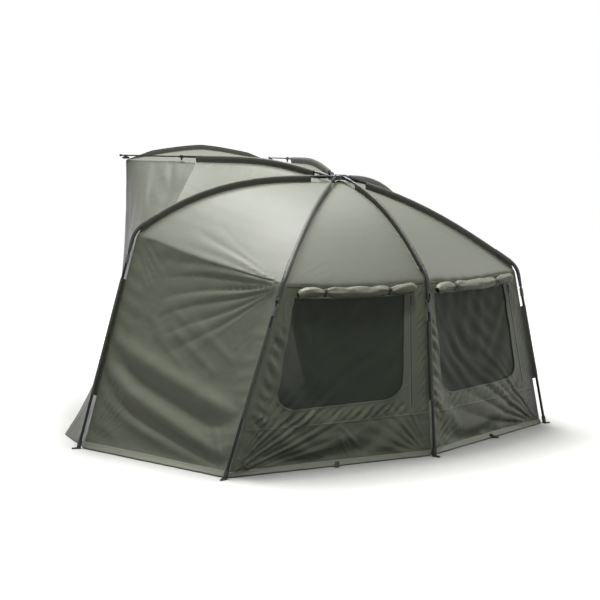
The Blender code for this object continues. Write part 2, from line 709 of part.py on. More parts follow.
def make_roofs(ribs, cloth):
    """Seven roof panels, each with the sleeve of the rib that it is named after."""
    roofs = {}
    columns = even_shares(ROOF_COLUMNS)
    for place, name in enumerate(RING_ORDER):
        first, second = ribs[RING_ORDER[place - 1]], ribs[name]
        both_peaks = not first.foot and not second.foot
        rise = PEAK_RISE if both_peaks else 0.0
        sag = 0.0 if both_peaks else ROOF_SAG
        roof = Roof(first, second, cloth_end(first, second), cloth_end(second, first), sag, rise)
        roofs[name] = roof
        made = grid_sheet("roof_" + name, roof.point, columns, ROOF_ROW_SHARES, CLOTH, cloth)
        start = second.route.length_at_reach(SLEEVE_START)
        if second.foot:
            end = second.route.length - ELBOW_ARM - ELBOW_OVERLAP - OVERRUN
        else:
            end = second.route.length_at_reach(PEAK_SLEEVE_END)
        toward = roof.point(0.5, 0.5) - second.ridge.at(second.ridge.length / 2)
        shift = math.copysign(SLEEVE_TAIL_SHIFT, toward.dot(second.side))
        combine(made, make_sleeve(second, start, end, shift, "sleeve_" + name), "UNION")
    return roofs


def cloth_end(rib, other):
    """How far along a rib's ridge the cloth toward the other rib is sewn."""
    if rib.foot and other.foot:
        return rib.ridge.length
    if rib.foot:
        return rib.ridge.length_at_reach(ROOF_FRONT_REACH)
    if other.foot:
        return rib.ridge.length_at_reach(PEAK_SLEEVE_END)
    return rib.ridge.length_at_reach(PEAK_TIP_REACH - BRACKET_SETBACK)


class Wall:
    """An upright panel from the crease under the roof to the hem, s across and v down."""

    def __init__(self, first, second, folds):
        self.first, self.second, self.folds = first, second, folds
        middle = (first.foot + second.foot) / 2
        self.outward = Vector((second.hem - first.hem)).cross(UP).normalized()
        if self.outward.dot(middle) < 0:
            self.outward.negate()

    def point(self, s, v):
        top = self.first.corner.lerp(self.second.corner, s) - UP * (ROOF_SAG * 4 * s * (1 - s))
        foot = self.first.hem.lerp(self.second.hem, s)
        held = SEAM_INSET / (foot - top).length
        spot = top.lerp(foot, held + v * (1 - held))
        left = self.first.seam.at(self.first.seam.length * v)
        right = self.second.seam.at(self.second.seam.length * v)
        spot += (right - left).normalized() * SEAM_INSET * (1 - 2 * s)
        envelope = 16 * s * (1 - s) * v * (1 - v)
        bow = -WALL_BOW * envelope
        if self.folds:
            wave = math.sin(math.tau * FOLD_COUNT * (s - FOLD_LEAN_SHARE * v))
            bow += FOLD_DEPTH * envelope * wave
        return spot + self.outward * bow

    def normal(self, s, v):
        step = NORMAL_STEP_SHARE
        across_it = self.point(s + step, v) - self.point(s - step, v)
        down_it = self.point(s, v + step) - self.point(s, v - step)
        square = across_it.cross(down_it).normalized()
        return square if square.dot(self.outward) > 0 else -square


def make_walls(ribs, cloth, net, slider_metal):
    """Four walls; the two at the rear have a net window, a rolled cover and a zip."""
    walls = {}
    for first, second, name, window in (
            ("side_left", "corner_left", "side_left", False),
            ("corner_left", "rear", "rear_left", True),
            ("rear", "corner_right", "rear_right", True),
            ("corner_right", "side_right", "side_right", False)):
        wall = Wall(ribs[first], ribs[second], not window)
        walls[name] = wall
        columns, rows = even_shares(WALL_COLUMNS), even_shares(WALL_ROWS)
        made = grid_sheet("wall_" + name, wall.point, columns, rows, CLOTH, cloth)
        if window:
            make_window(name, wall, made, net, cloth, slider_metal)
    return walls


def window_outline():
    """The window's edge in shares of its wall: slanted sides, rounded lower corners."""
    outline = [(WINDOW_LEFT_SHARE - WINDOW_SLANT_SHARE / 2, WINDOW_TOP_SHARE),
               (WINDOW_RIGHT_SHARE, WINDOW_TOP_SHARE)]
    turns = even_shares(4, 0.0, math.pi / 2)
    middle_v = WINDOW_FOOT_SHARE - WINDOW_ROUND_SHARE
    for a in turns:
        outline.append((WINDOW_RIGHT_SHARE - WINDOW_ROUND_SHARE * (1 - math.cos(a)),
                        middle_v + WINDOW_ROUND_SHARE * math.sin(a)))
    left = WINDOW_LEFT_SHARE + WINDOW_SLANT_SHARE
    for a in reversed(turns):
        outline.append((left + WINDOW_ROUND_SHARE * (1 - math.cos(a)),
                        middle_v + WINDOW_ROUND_SHARE * math.sin(a)))
    return outline


def make_window(name, wall, made, net, cloth, slider_metal):
    data = bmesh.new()
    outline = window_outline()
    reach = wall.outward * (WALL_BOW + OVERRUN)
    near = [data.verts.new(wall.point(s, v) - reach) for s, v in outline]
    far = [data.verts.new(wall.point(s, v) + reach) for s, v in outline]
    data.faces.new(near)
    data.faces.new(far)
    for place in range(len(outline)):
        following = (place + 1) % len(outline)
        data.faces.new((near[place], near[following], far[following], far[place]))
    combine(made, make_object("window_cut_" + name, data, None), "DIFFERENCE")
    width = (wall.point(1.0, 0.5) - wall.point(0.0, 0.5)).length
    height = (wall.point(0.5, 1.0) - wall.point(0.5, 0.0)).length
    inward = CLOTH / 2 + NET / 2 + NET_STAND
    margin_s, margin_v = NET_MARGIN / width, NET_MARGIN / height
    left, right = WINDOW_LEFT_SHARE - WINDOW_SLANT_SHARE / 2 - margin_s, WINDOW_RIGHT_SHARE + margin_s
    columns = even_shares(8, left, right)
    rows = even_shares(6, WINDOW_TOP_SHARE - margin_v, WINDOW_FOOT_SHARE + margin_v)

    def net_point(s, v):
        return wall.point(s, v) - wall.normal(s, v) * inward

    grid_sheet("window_net_" + name, net_point, columns, rows, NET, net)
    make_cover(name, wall, cloth)
    make_slider(name, wall, slider_metal)


def make_cover(name, wall, cloth):
    """The window's cover rolled up above it and tied in two places."""
    stand = COVER_RADIUS + CLOTH / 2 + 2 * FIT_GAP
    points = [wall.point(s, COVER_V_SHARE) + wall.normal(s, COVER_V_SHARE) * stand
              for s in even_shares(6, COVER_START_SHARE, COVER_END_SHARE)]
    route = Route(points)
    full = round_outline(COVER_RADIUS)
    tied = round_outline(COVER_RADIUS * COVER_TIE_RADIUS_SHARE)
    rings = [(0.0, full)]
    for share in COVER_TIE_SHARES:
        middle = route.length * (share - COVER_START_SHARE) / (COVER_END_SHARE - COVER_START_SHARE)
        rings += [(middle - COVER_RADIUS, full), (middle, tied), (middle + COVER_RADIUS, full)]
    rings.append((route.length, full))
    sweep("window_cover_" + name, route, wall.outward, rings, cloth)


def zip_line(wall):
    """Where the slider rides: from the zip's top to its foot, on the wall's face."""
    stand = CLOTH / 2 + SLIDER_HALF_HEIGHT + 2 * FIT_GAP
    top = wall.point(ZIP_SHARE, ZIP_TOP_SHARE) + wall.normal(ZIP_SHARE, ZIP_TOP_SHARE) * stand
    foot = wall.point(ZIP_SHARE, ZIP_FOOT_SHARE) + wall.normal(ZIP_SHARE, ZIP_FOOT_SHARE) * stand
    return Route([top, foot])


def make_slider(name, wall, slider_metal):
    """A zip slider with its pull hanging down the zip."""
    line = zip_line(wall)
    body = block_outline(SLIDER_HALF_WIDTH, SLIDER_HALF_HEIGHT)
    nose = block_outline(SLIDER_HALF_WIDTH / 2, SLIDER_HALF_HEIGHT)
    pull = block_outline(PULL_HALF_WIDTH, PULL_HALF_HEIGHT)
    side = wall.normal(ZIP_SHARE, ZIP_TOP_SHARE).cross(line.heading(0.0)).normalized()
    rings = [(-SLIDER_HALF_LENGTH, nose), (-SLIDER_HALF_LENGTH / 2, body),
             (SLIDER_HALF_LENGTH / 2, body), (SLIDER_HALF_LENGTH, nose),
             (SLIDER_HALF_LENGTH + FIT_GAP, pull), (SLIDER_HALF_LENGTH + PULL_LENGTH, pull)]
    sweep("zip_slider_" + name, line, side, rings, slider_metal)


def make_leg_sleeves(ribs, cloth):
    """The cloth strips that hold each leg to the corner of the walls."""
    for rib in ribs.values():
        if not rib.foot:
            continue
        drop = SIDE_LEG_SLEEVE_DROP if rib.name.startswith("side") else REAR_LEG_SLEEVE_DROP
        top_height = rib.shoulder.z - drop
        fall = rib.knee.z / rib.leg.length
        start, end = (rib.knee.z - top_height) / fall, (rib.knee.z - LEG_SLEEVE_FOOT) / fall
        inner = round_outline(LEG_RADIUS + SLEEVE_GAP)
        rings, bores = [], []
        middle = rib.leg.at((start + end) / 2)
        toward = nearest(rib.seam, middle) - middle
        side = toward.cross(rib.leg_heading).normalized()
        for length in [start + (end - start) * share for share in even_shares(4)]:
            spot = rib.leg.at(length)
            gap = (nearest(rib.seam, spot) - spot).length
            tail = gap - CLOTH / 2 - 2 * FIT_GAP
            rings.append((length, tail_outline(LEG_RADIUS + SLEEVE_GAP + SLEEVE_WALL, tail, 0.0)))
            bores.append((length, inner))
        if rib.leg_heading.cross(side).dot(toward) > 0:
            side.negate()
        sweep("leg_sleeve_" + rib.name, rib.leg, side, rings + bores[::-1], cloth, closed=True)


def nearest(route, spot):
    """The point of a straight route that lies nearest to a spot."""
    along = (route.points[1] - route.points[0]).normalized()
    return route.points[0] + along * (spot - route.points[0]).dot(along)


class Porch:
    """An infill wall: from a side leg and rib round the front corner to the doorway."""

    def __init__(self, side_rib, peak_rib):
        self.sign = math.copysign(1.0, side_rib.foot.x)
        peak_end = peak_rib.ridge.length_at_reach(PEAK_SLEEVE_END)
        self.peak_foot = peak_rib.ridge.at(peak_end) - UP * (CLOTH + 3 * SEAM_INSET)
        tip_length = peak_rib.ridge.length_at_reach(PEAK_TIP_REACH - BRACKET_SETBACK)
        self.tip = peak_rib.ridge.at(tip_length) - UP * (CLOTH + 2 * SEAM_INSET)
        rib_end = side_rib.ridge.length_at_reach(ROOF_FRONT_REACH)
        inset = side_rib.side * math.copysign(SEAM_INSET, -side_rib.side.y)
        under = inset - UP * PORCH_DROP
        self.spine = Route([self.peak_foot, side_rib.ridge.at(rib_end) + under,
                            side_rib.ridge.at((rib_end + side_rib.ridge.length) / 2) + under,
                            side_rib.corner + inset, side_rib.hem + inset])
        self.peg = Vector((self.sign * PORCH_PEG_X, PORCH_PEG_Y, HEM_HEIGHT))
        self.door_top = Vector((self.sign * DOOR_TOP_HALF, self.tip.y, self.tip.z))
        self.door_foot = Vector((self.sign * DOOR_FOOT_HALF, PORCH_PEG_Y, HEM_HEIGHT))

    def point(self, s, v):
        front = self.tip.lerp(self.peg, v)
        front.x -= self.sign * PORCH_FLARE * 4 * v * (1 - v)
        if s <= 1:
            marks = self.spine.marks
            return self.spine.at(read_marks(v, marks)).lerp(front, s)
        return front.lerp(self.door_top.lerp(self.door_foot, v), s - 1)


def read_marks(v, marks):
    """The length on the porch's spine at a height share: each corner has its own row."""
    for place in range(len(marks) - 1):
        low, high = PORCH_ROW_SHARES[place], PORCH_ROW_SHARES[place + 1]
        if v <= high:
            return marks[place] + (marks[place + 1] - marks[place]) * (v - low) / (high - low)
    return marks[-1]


def make_front(ribs, roofs, cloth, dark_cloth):
    """The two infill walls, the rolled door under the peak and the stiffened peak edge."""
    for hand in ("left", "right"):
        porch = Porch(ribs["side_" + hand], ribs["peak_" + hand])
        lower_rows = even_shares(PORCH_LOWER_ROWS, PORCH_ROW_SHARES[-2], 1.0)
        rows = list(PORCH_ROW_SHARES[:-1]) + lower_rows[1:]
        columns = even_shares(PORCH_COLUMNS, 0.0, 2.0)
        grid_sheet("porch_" + hand, porch.point, columns, rows, CLOTH, cloth)
    peak = roofs["peak_left"]
    make_door_roll(peak, cloth)
    make_visor(peak, dark_cloth)


def make_door_roll(peak, cloth):
    """The door rolled up and tied under the peak, a little behind its front edge."""
    stand = DOOR_ROLL_RADIUS + CLOTH / 2 + SEAM_INSET
    back_share = 1.0 - DOOR_ROLL_SETBACK / PEAK_TIP_REACH
    fall = max(0.0, peak.point(0.5, 1.0).z - peak.point(0.5, back_share).z)
    back = Vector((0.0, DOOR_ROLL_SETBACK, -fall))
    edge = [peak.point(s, 1.0) for s in even_shares(ROOF_COLUMNS)]
    points = []
    for before, spot, after in zip(edge, edge[1:], edge[2:]):
        steepest = max(abs((spot - before).normalized().z), abs((after - spot).normalized().z))
        points.append(spot + back - UP * stand / math.cos(math.asin(steepest)))
    route = Route(points)
    full = round_outline(DOOR_ROLL_RADIUS)
    tied = round_outline(DOOR_ROLL_RADIUS * DOOR_ROLL_TIE_SHARE)
    rings = [(0.0, full)]
    for share in even_shares(3)[1:-1]:
        middle = route.length * share
        rings += [(middle - DOOR_ROLL_RADIUS, full), (middle, tied), (middle + DOOR_ROLL_RADIUS, full)]
    rings += [(route.length, full)]
    sweep("door_roll", route, Vector((0.0, 1.0, 0.0)), rings, cloth)


def make_visor(peak, dark_cloth):
    """The stiffened band along the peak's front edge, deepest at the crown."""
    data = bmesh.new()
    layers = []
    for depth in (SEAM_INSET, SEAM_INSET + VISOR_THICKNESS):
        low, high = [], []
        for s in even_shares(VISOR_STEPS, VISOR_START_SHARE, 1.0 - VISOR_START_SHARE):
            edge = peak.point(s, 1.0) - Vector((0.0, depth, 0.0))
            taper = min(1.0, VISOR_TAPER * s, VISOR_TAPER * (1 - s))
            low.append(data.verts.new(edge - UP * CLOTH * 2))
            high.append(data.verts.new(edge + UP * VISOR_DEPTH * taper))
        layers.append((low, high))
    (near_low, near_high), (far_low, far_high) = layers
    for first, second in ((near_low, near_high), (near_high, far_high), (far_high, far_low),
                          (far_low, near_low)):
        for place in range(len(first) - 1):
            data.faces.new((first[place], first[place + 1], second[place + 1], second[place]))
    for place in (0, -1):
        data.faces.new((near_low[place], near_high[place], far_high[place], far_low[place]))
    make_object("peak_visor", data, dark_cloth, smooth=False)


def centre_on_footprint():
    """Stands every piece on an empty that puts the footprint's middle at the origin."""
    pieces = [item for item in bpy.data.objects if item.type == "MESH"]
    bpy.context.view_layer.update()
    low, high = Vector((math.inf,) * 3), Vector((-math.inf,) * 3)
    for item in pieces:
        if item.hide_render:
            continue
        for vert in item.data.vertices:
            low = Vector(map(min, low, vert.co))
            high = Vector(map(max, high, vert.co))
    ground = bpy.data.objects.new("ground_centre", None)
    bpy.context.scene.collection.objects.link(ground)
    ground.location = (0.0, -(low.y + high.y) / 2, 0.0)
    for item in pieces:
        item.parent = ground
    return ground


def main():
    clear_scene()
    black = make_material("glass-filled nylon, black", "1b1b1c", 0.45)
    pole = make_material("anodised aluminium, black", "232225", 0.30, 0.8)
    steel = make_material("zinc-plated steel", "b9b8c4", 0.35, 1.0)
    cloth = make_material("coated polyester, olive green", "6f7569", 0.60)
    trim = make_material("coated polyester, dark olive", "4b4b43", 0.65)
    net = make_material("insect netting, dark green", "2f3a33", 0.80)
    ribs = make_ribs()
    make_hub(ribs, black, steel)
    for rib in ribs.values():
        make_rib_pole(rib, pole)
        if rib.foot:
            make_elbow(rib, black)
            make_leg(rib, pole)
            make_foot(rib, black)
        else:
            make_peak_rod(rib, pole)
    roofs = make_roofs(ribs, cloth)
    make_walls(ribs, cloth, net, steel)
    make_leg_sleeves(ribs, trim)
    make_front(ribs, roofs, cloth, trim)
    centre_on_footprint()


main()
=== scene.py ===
import math

import bmesh
import bpy
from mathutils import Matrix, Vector, noise
from mathutils.bvhtree import BVHTree
from mathutils.geometry import barycentric_transform


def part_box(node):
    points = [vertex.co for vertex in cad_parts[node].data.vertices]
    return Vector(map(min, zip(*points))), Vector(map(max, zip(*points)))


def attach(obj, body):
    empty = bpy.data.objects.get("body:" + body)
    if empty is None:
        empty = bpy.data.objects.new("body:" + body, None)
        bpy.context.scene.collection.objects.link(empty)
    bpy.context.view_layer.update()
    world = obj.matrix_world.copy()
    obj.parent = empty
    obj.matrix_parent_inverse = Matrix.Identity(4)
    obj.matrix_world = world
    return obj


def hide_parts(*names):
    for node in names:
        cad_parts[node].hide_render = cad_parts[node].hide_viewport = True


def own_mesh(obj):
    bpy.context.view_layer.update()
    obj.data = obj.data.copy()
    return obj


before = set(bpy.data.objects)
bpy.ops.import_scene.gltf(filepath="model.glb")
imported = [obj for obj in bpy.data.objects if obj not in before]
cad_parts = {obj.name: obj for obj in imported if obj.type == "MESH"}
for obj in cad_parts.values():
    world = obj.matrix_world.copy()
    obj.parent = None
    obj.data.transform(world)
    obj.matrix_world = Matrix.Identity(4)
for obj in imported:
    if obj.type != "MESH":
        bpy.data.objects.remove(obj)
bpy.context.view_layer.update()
bpy.ops.object.select_all(action="DESELECT")


# The view. The tent is seen from behind its left side, from the height of a
# standing person's chest, about seven metres away, with a short telephoto lens.
bpy.ops.object.camera_add(location=(4.423, 5.739, 1.407),
                          rotation=(math.radians(84.9), math.radians(0.19), math.radians(142.57)))
camera = bpy.context.object
camera.name = "camera"
camera.data.lens = 72.3
bpy.context.scene.camera = camera
bpy.context.scene.view_settings.view_transform = "Standard"


# The studio. One large soft box hangs over the tent, three small ones light its
# rear and both sides, and a dim room fills the shadows. The ground is white
# card: it keeps the shadow, carries a painted shadow that darkens it softly
# where the cloth stands on it, and turns to pure white a few metres out.
def linear(colour):
    """The linear red, green, blue and alpha of an sRGB hex colour."""
    shares = [int(colour[place:place + 2], 16) / 255 for place in (0, 2, 4)]
    return [((c + 0.055) / 1.055) ** 2.4 if c > 0.04045 else c / 12.92 for c in shares] + [1.0]


def add_node(tree, kind, settings={}, inputs={}):
    """Adds a shader node; an input is a value or (node, output) to link from."""
    made = tree.nodes.new("ShaderNode" + kind)
    for name, value in settings.items():
        setattr(made, name, value)
    for name, value in inputs.items():
        if isinstance(value, tuple) and isinstance(value[0], bpy.types.Node):
            tree.links.new(value[0].outputs[value[1]], made.inputs[name])
        else:
            made.inputs[name].default_value = value
    return made


def let_go():
    bpy.ops.object.select_all(action="DESELECT")


for name, place, target, size, power in (
        ("soft_box_above", (0.2, -0.7, 5.4), (0.1, 0.3, 0.8), 3.0, 425.0),
        ("soft_box_rear", (0.9, 2.4, 5.0), (0.2, 0.9, 0.5), 0.8, 125.0),
        ("soft_box_left", (4.4, 0.2, 3.4), (0.8, 0.2, 0.6), 1.2, 22.0),
        ("soft_box_right", (-4.4, 2.2, 3.8), (0.0, 0.6, 0.9), 1.4, 60.0)):
    turn = (Vector(target) - Vector(place)).to_track_quat("-Z", "Y").to_euler()
    bpy.ops.object.light_add(type="AREA", location=place, rotation=turn)
    lamp = bpy.context.object
    lamp.name = name
    lamp.data.shape = "DISK"
    lamp.data.size = size
    lamp.data.energy = power
    lamp.data.color = linear("fffffd")[:3]
let_go()

world = bpy.context.scene.world or bpy.data.worlds.new("studio")
bpy.context.scene.world = world
world.use_nodes = True
tree = world.node_tree
tree.nodes.clear()
path = add_node(tree, "LightPath")
seen = add_node(tree, "Math", {"operation": "MAXIMUM"},
                {0: (path, "Is Camera Ray"), 1: (path, "Is Glossy Ray")})
seen_all = add_node(tree, "Math", {"operation": "MAXIMUM"},
                    {0: (seen, "Value"), 1: (path, "Is Transmission Ray")})
fill = add_node(tree, "Background", {}, {"Color": linear("f4f6f2"), "Strength": 0.048})
white = add_node(tree, "Background", {}, {"Color": linear("ffffff"), "Strength": 1.0})
either = add_node(tree, "MixShader", {},
                  {0: (seen_all, "Value"), 1: (fill, "Background"), 2: (white, "Background")})
add_node(tree, "OutputWorld", {}, {"Surface": (either, "Shader")})

bpy.ops.mesh.primitive_plane_add(size=60.0, location=(0.0, 0.0, -0.0006))
ground = bpy.context.object
ground.name = "ground"
card = bpy.data.materials.new("white card")
card.use_nodes = True
tree = card.node_tree
tree.nodes.clear()
path = add_node(tree, "LightPath")
seen = add_node(tree, "Math", {"operation": "MAXIMUM"},
                {0: (path, "Is Camera Ray"), 1: (path, "Is Glossy Ray")})
PAINTED_SHADE_REACH, WHITE_FROM, WHITE_TO = 0.25, 1.5, 4.5  # metres on the card
# Painted contact shadow: the ambient-occlusion factor mixes the card's colour from d6d6d5 down to 484848
# within a quarter metre of the tent.
near = add_node(tree, "AmbientOcclusion", {"samples": 16}, {"Distance": PAINTED_SHADE_REACH})
tone = add_node(tree, "Mix", {"data_type": "RGBA"},
                {"Factor": (near, "AO"), "A": linear("484848"), "B": linear("d6d6d5")})
lit = add_node(tree, "BsdfDiffuse", {}, {"Color": (tone, "Result")})
bounce = add_node(tree, "BsdfDiffuse", {}, {"Color": linear("484948")})
where = add_node(tree, "TexCoord")
away = add_node(tree, "VectorMath", {"operation": "LENGTH"}, {0: (where, "Object")})
far = add_node(tree, "MapRange", {}, {"Value": (away, "Value"), "From Min": WHITE_FROM, "From Max": WHITE_TO})
glow = add_node(tree, "Emission", {}, {"Color": linear("ffffff"), "Strength": (far, "Result")})
both = add_node(tree, "AddShader", {}, {0: (lit, "BSDF"), 1: (glow, "Emission")})
either = add_node(tree, "MixShader", {},
                  {0: (seen, "Value"), 1: (bounce, "BSDF"), 2: (both, "Shader")})
add_node(tree, "OutputMaterial", {}, {"Surface": (either, "Shader")})
ground.data.materials.append(card)
let_go()


# Poles. Ribs and legs are 14 and 16 mm aluminium tube, black anodised: dark,
# smooth and glossy, so that they carry long bright highlights.
def new_material(name, scale, detail, dark, pale, rough, shader_inputs):
    """A material whose colour drifts with a noise in object space, and its roughness too if given.
    Gives the material, and the nodes of its coordinates and its noise."""
    made = bpy.data.materials.new(name)
    made.use_nodes = True
    tree = made.node_tree
    shader = tree.nodes["Principled BSDF"]
    for entry, value in shader_inputs.items():
        shader.inputs[entry].default_value = value
    where = add_node(tree, "TexCoord")
    drift = add_node(tree, "TexNoise", {},
                     {"Vector": (where, "Object"), "Scale": scale, "Detail": detail})
    shade = add_node(tree, "Mix", {"data_type": "RGBA"},
                     {"Factor": (drift, "Fac"), "A": linear(dark), "B": linear(pale)})
    tree.links.new(shade.outputs["Result"], shader.inputs["Base Color"])
    if rough:
        tone = add_node(tree, "MapRange", {},
                        {"Value": (drift, "Fac"), "To Min": rough[0], "To Max": rough[1]})
        tree.links.new(tone.outputs["Result"], shader.inputs["Roughness"])
    return made, where, drift


def paint(node, material):
    """Gives a CAD node its material in every slot."""
    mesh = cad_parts[node].data
    mesh.materials.clear()
    mesh.materials.append(material)


anodised = new_material("anodised aluminium, black, gloss", 900.0, 2.0, "1d1e22", "2b2c32", (0.20, 0.34),
                        {"Metallic": 0.75})[0]
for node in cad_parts:
    if node.startswith(("rib_", "leg_", "peak_rod")):
        paint(node, anodised)


# Hub, elbows and feet. Glass-filled nylon, moulded black with a fine grain
# that breaks up the highlight.
nylon, where, grain = new_material("glass-filled nylon, moulded, black", 700.0, 3.0, "161617", "242424",
                                   (0.38, 0.58), {"IOR": 1.53})
tree = nylon.node_tree
dimple = add_node(tree, "Bump", {},
                  {"Height": (grain, "Fac"), "Strength": 0.25, "Distance": 0.0004})
tree.links.new(dimple.outputs["Normal"], tree.nodes["Principled BSDF"].inputs["Normal"])
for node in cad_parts:
    if node == "hub" or node.startswith(("elbow_", "foot_")):
        paint(node, nylon)


# Hub cap and pins. Zinc-plated steel: the cap looks pale and a little lilac
# among the black poles, with a fine spangle.
zinc = new_material("zinc-plated steel", 500.0, 2.0, "cfcedd", "e4e3ef", (0.28, 0.45), {"Metallic": 1.0})[0]
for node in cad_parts:
    if node == "hub_cap" or node.startswith("hub_pin"):
        paint(node, zinc)


# Canopy cloth. Olive polyester taffeta with a polyurethane coating: a plain
# weave too fine to see, a soft sheen, faint creases from being packed, and thin
# enough over the roof for some daylight to come through.
def woven(tree, where, scale):
    """Threads across and down the cut cloth, multiplied; scale is in waves of the UV map's metres."""
    across = add_node(tree, "TexWave", {"bands_direction": "X"},
                      {"Vector": (where, "UV"), "Scale": scale})
    down = add_node(tree, "TexWave", {"bands_direction": "Y"},
                    {"Vector": (where, "UV"), "Scale": scale})
    return add_node(tree, "Math", {"operation": "MULTIPLY"}, {0: (across, "Fac"), 1: (down, "Fac")})


def make_cloth(name, dark, pale, sheen, crease_mm, through):
    """Coated polyester: slow colour drift, packing creases, the weave, and light that passes through."""
    made, where, drift = new_material(name, 3.0, 5.0, dark, pale, (0.42, 0.58),
                                      {"IOR": 1.47, "Sheen Weight": sheen, "Sheen Roughness": 0.45})
    drift.inputs["Roughness"].default_value = 0.6
    tree = made.node_tree
    shader = tree.nodes["Principled BSDF"]
    weave = woven(tree, where, 200.0)
    crease = add_node(tree, "TexNoise", {},
                      {"Vector": (where, "Object"), "Scale": 9.0, "Detail": 4.0, "Distortion": 1.2})
    folds = add_node(tree, "Bump", {},
                     {"Height": (crease, "Fac"), "Strength": 0.5, "Distance": crease_mm / 1000})
    threads = add_node(tree, "Bump", {},
                       {"Height": (weave, "Value"), "Strength": 0.12, "Distance": 0.0003,
                        "Normal": (folds, "Normal")})
    tree.links.new(threads.outputs["Normal"], shader.inputs["Normal"])
    if through:
        glow = add_node(tree, "BsdfTranslucent", {}, {"Color": linear("b9bbae")})
        both = add_node(tree, "MixShader", {}, {0: through, 1: (shader, "BSDF"), 2: (glow, "BSDF")})
        tree.links.new(both.outputs["Shader"], tree.nodes["Material Output"].inputs["Surface"])
    return made


# Roof and walls are one cloth: the roof's paler colour is painted light and the walls' darker one is painted
# shade.
roof_cloth = make_cloth("coated polyester taffeta, olive, thin", "64675c", "6c6f64", 0.15, 3.0, 0.20)
wall_cloth = make_cloth("coated polyester taffeta, olive", "5b604f", "656a59", 0.12, 6.0, 0.0)
skirt_cloth = make_cloth("coated polyester taffeta, olive, hem", "6d7063", "777b6d", 0.12, 4.0, 0.0)
sleeve_cloth = make_cloth("coated polyester, heavy, dark olive", "2b2b23", "3a3930", 0.1, 4.0, 0.0)
# The covers' brown olive is painted darker all over: painted shade standing for the shaded undersides of the
# rolls.
cover_cloth = make_cloth("coated polyester taffeta, brown olive", "585949", "646555", 0.12, 6.0, 0.0)

# Where the ribs run, measured from the hub's axis in the middle of the roof.
# Slopes are at the pivot and at the shoulder; reach and height are the
# shoulder's; foot is the sole's place on the ground. Lengths are in metres.
hub_low, hub_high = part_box("hub")
MIDDLE = Vector(((hub_low.x + hub_high.x) / 2, (hub_low.y + hub_high.y) / 2, 0.0))
UP = Vector((0.0, 0.0, 1.0))
PIVOT_REACH, PIVOT_HEIGHT = 0.045, 1.495
TIP_REACH, TIP_HEIGHT = 1.60, 1.650
ELBOW_RUN = 0.105  # the elbow's straight part, from the rib's end to the shoulder
RIBS = {"peak": {"bearing": -68.3, "slopes": (17.0, 2.1), "reach": 0.72, "height": 1.618, "foot": None},
        "side": {"bearing": -25.3, "slopes": (2.0, -33.0), "reach": 1.17, "height": 1.20,
                 "foot": (1.408, -0.548)},
        "corner": {"bearing": 35.8, "slopes": (-17.0, -35.0), "reach": 1.046, "height": 0.975,
                   "foot": (1.174, 0.554)},
        "rear": {"bearing": 90.0, "slopes": (-18.0, -50.0), "reach": 0.753, "height": 0.962,
                 "foot": (0.0, 0.817)}}
RING = ["peak_left", "side_left", "corner_left", "rear", "corner_right", "side_right", "peak_right"]


def rib_of(name):
    """The measures of a rib; left and right ribs share them."""
    return RIBS[name.split("_")[0]]


def aim(bearing, slope):
    """The unit vector that points along a bearing and a slope, both in degrees."""
    b, a = math.radians(bearing), math.radians(slope)
    return Vector((math.cos(b) * math.cos(a), math.sin(b) * math.cos(a), math.sin(a)))


def pole_line(name):
    """The axis of a rib from its pivot to its shoulder, and on to a peak's tip."""
    rib = rib_of(name)
    flat = aim(rib["bearing"], 0.0)
    start = flat * PIVOT_REACH + UP * PIVOT_HEIGHT
    shoulder = flat * rib["reach"] + UP * rib["height"]
    tip = flat * TIP_REACH + UP * TIP_HEIGHT
    last = aim(rib["bearing"], rib["slopes"][1]) if rib["foot"] else (tip - shoulder).normalized()
    end = shoulder - last * (ELBOW_RUN if rib["foot"] else 0.0)
    handle = (end - start).length * 0.38
    first_hand, last_hand = start + aim(rib["bearing"], rib["slopes"][0]) * handle, end - last * handle
    line = []
    for step in range(11):
        u, w = step / 10, 1 - step / 10
        line.append(start * w ** 3 + first_hand * 3 * w * w * u + last_hand * 3 * w * u * u + end * u ** 3)
    line.append(shoulder if rib["foot"] else tip)
    if name.endswith("_right"):
        line = [Vector((-p.x, p.y, p.z)) for p in line]
    return [p + MIDDLE for p in line]


LINES = {name: pole_line(name) for name in RING}


def on_pole(name, reach):
    """The point of a rib's axis at a distance from the hub's own axis."""
    line = LINES[name]
    for first, second in zip(line, line[1:]):
        near, far = (first - MIDDLE).xy.length, (second - MIDDLE).xy.length
        if reach <= far or second is line[-1]:
            return first.lerp(second, (reach - near) / (far - near))


def foot_of(name):
    """Where a leg's sole stands."""
    across, along = rib_of(name)["foot"]
    hand = -1 if name.endswith("_right") else 1
    return Vector((across * hand, along, 0.0)) + MIDDLE


def outward_of(point):
    return Vector((point.x - MIDDLE.x, point.y - MIDDLE.y, 0.0)).normalized()


# Where the cloth is sewn: the crown's hole, how far the seam hangs under a
# rib's axis, the corner under each shoulder, and the hem inside each foot.
CROWN_HOLE = 0.012
SEAM_DROP = 0.031
CORNER_DROP = 0.026
CORNER_INSET = 0.014
HEM_INSET, HEM_RISE = 0.030, 0.004


def corner_of(name):
    shoulder = LINES[name][-1]
    return shoulder - outward_of(shoulder) * CORNER_INSET - UP * CORNER_DROP


def hem_of(name):
    return foot_of(name) - outward_of(foot_of(name)) * HEM_INSET + UP * HEM_RISE


def seam_point(name, share, end):
    """The cloth's seam under a rib, from the crown to its far end; at a shoulder it bends to the corner."""
    spot = on_pole(name, CROWN_HOLE + (end - CROWN_HOLE) * share) - UP * SEAM_DROP
    if end > rib_of(name)["reach"] - 0.02 and share > 0.94 and rib_of(name)["foot"]:
        return spot.lerp(corner_of(name), (share - 0.94) / 0.06)
    return spot


# Roof and walls. Each pair of ribs carries one length of cloth that runs from
# the crown over the crease between the shoulders down to the hem; it is sewn
# along both poles, so only its middle can sag and crease. Folds are measured in
# metres on the cut cloth: x from its left edge, y down from the crease.
def clamp(value):
    return max(0.0, min(1.0, value))


def wobble(a, b, c):
    """Smooth noise, the same at each run, from about -1 to 1."""
    return noise.noise(Vector((a, b, c)))


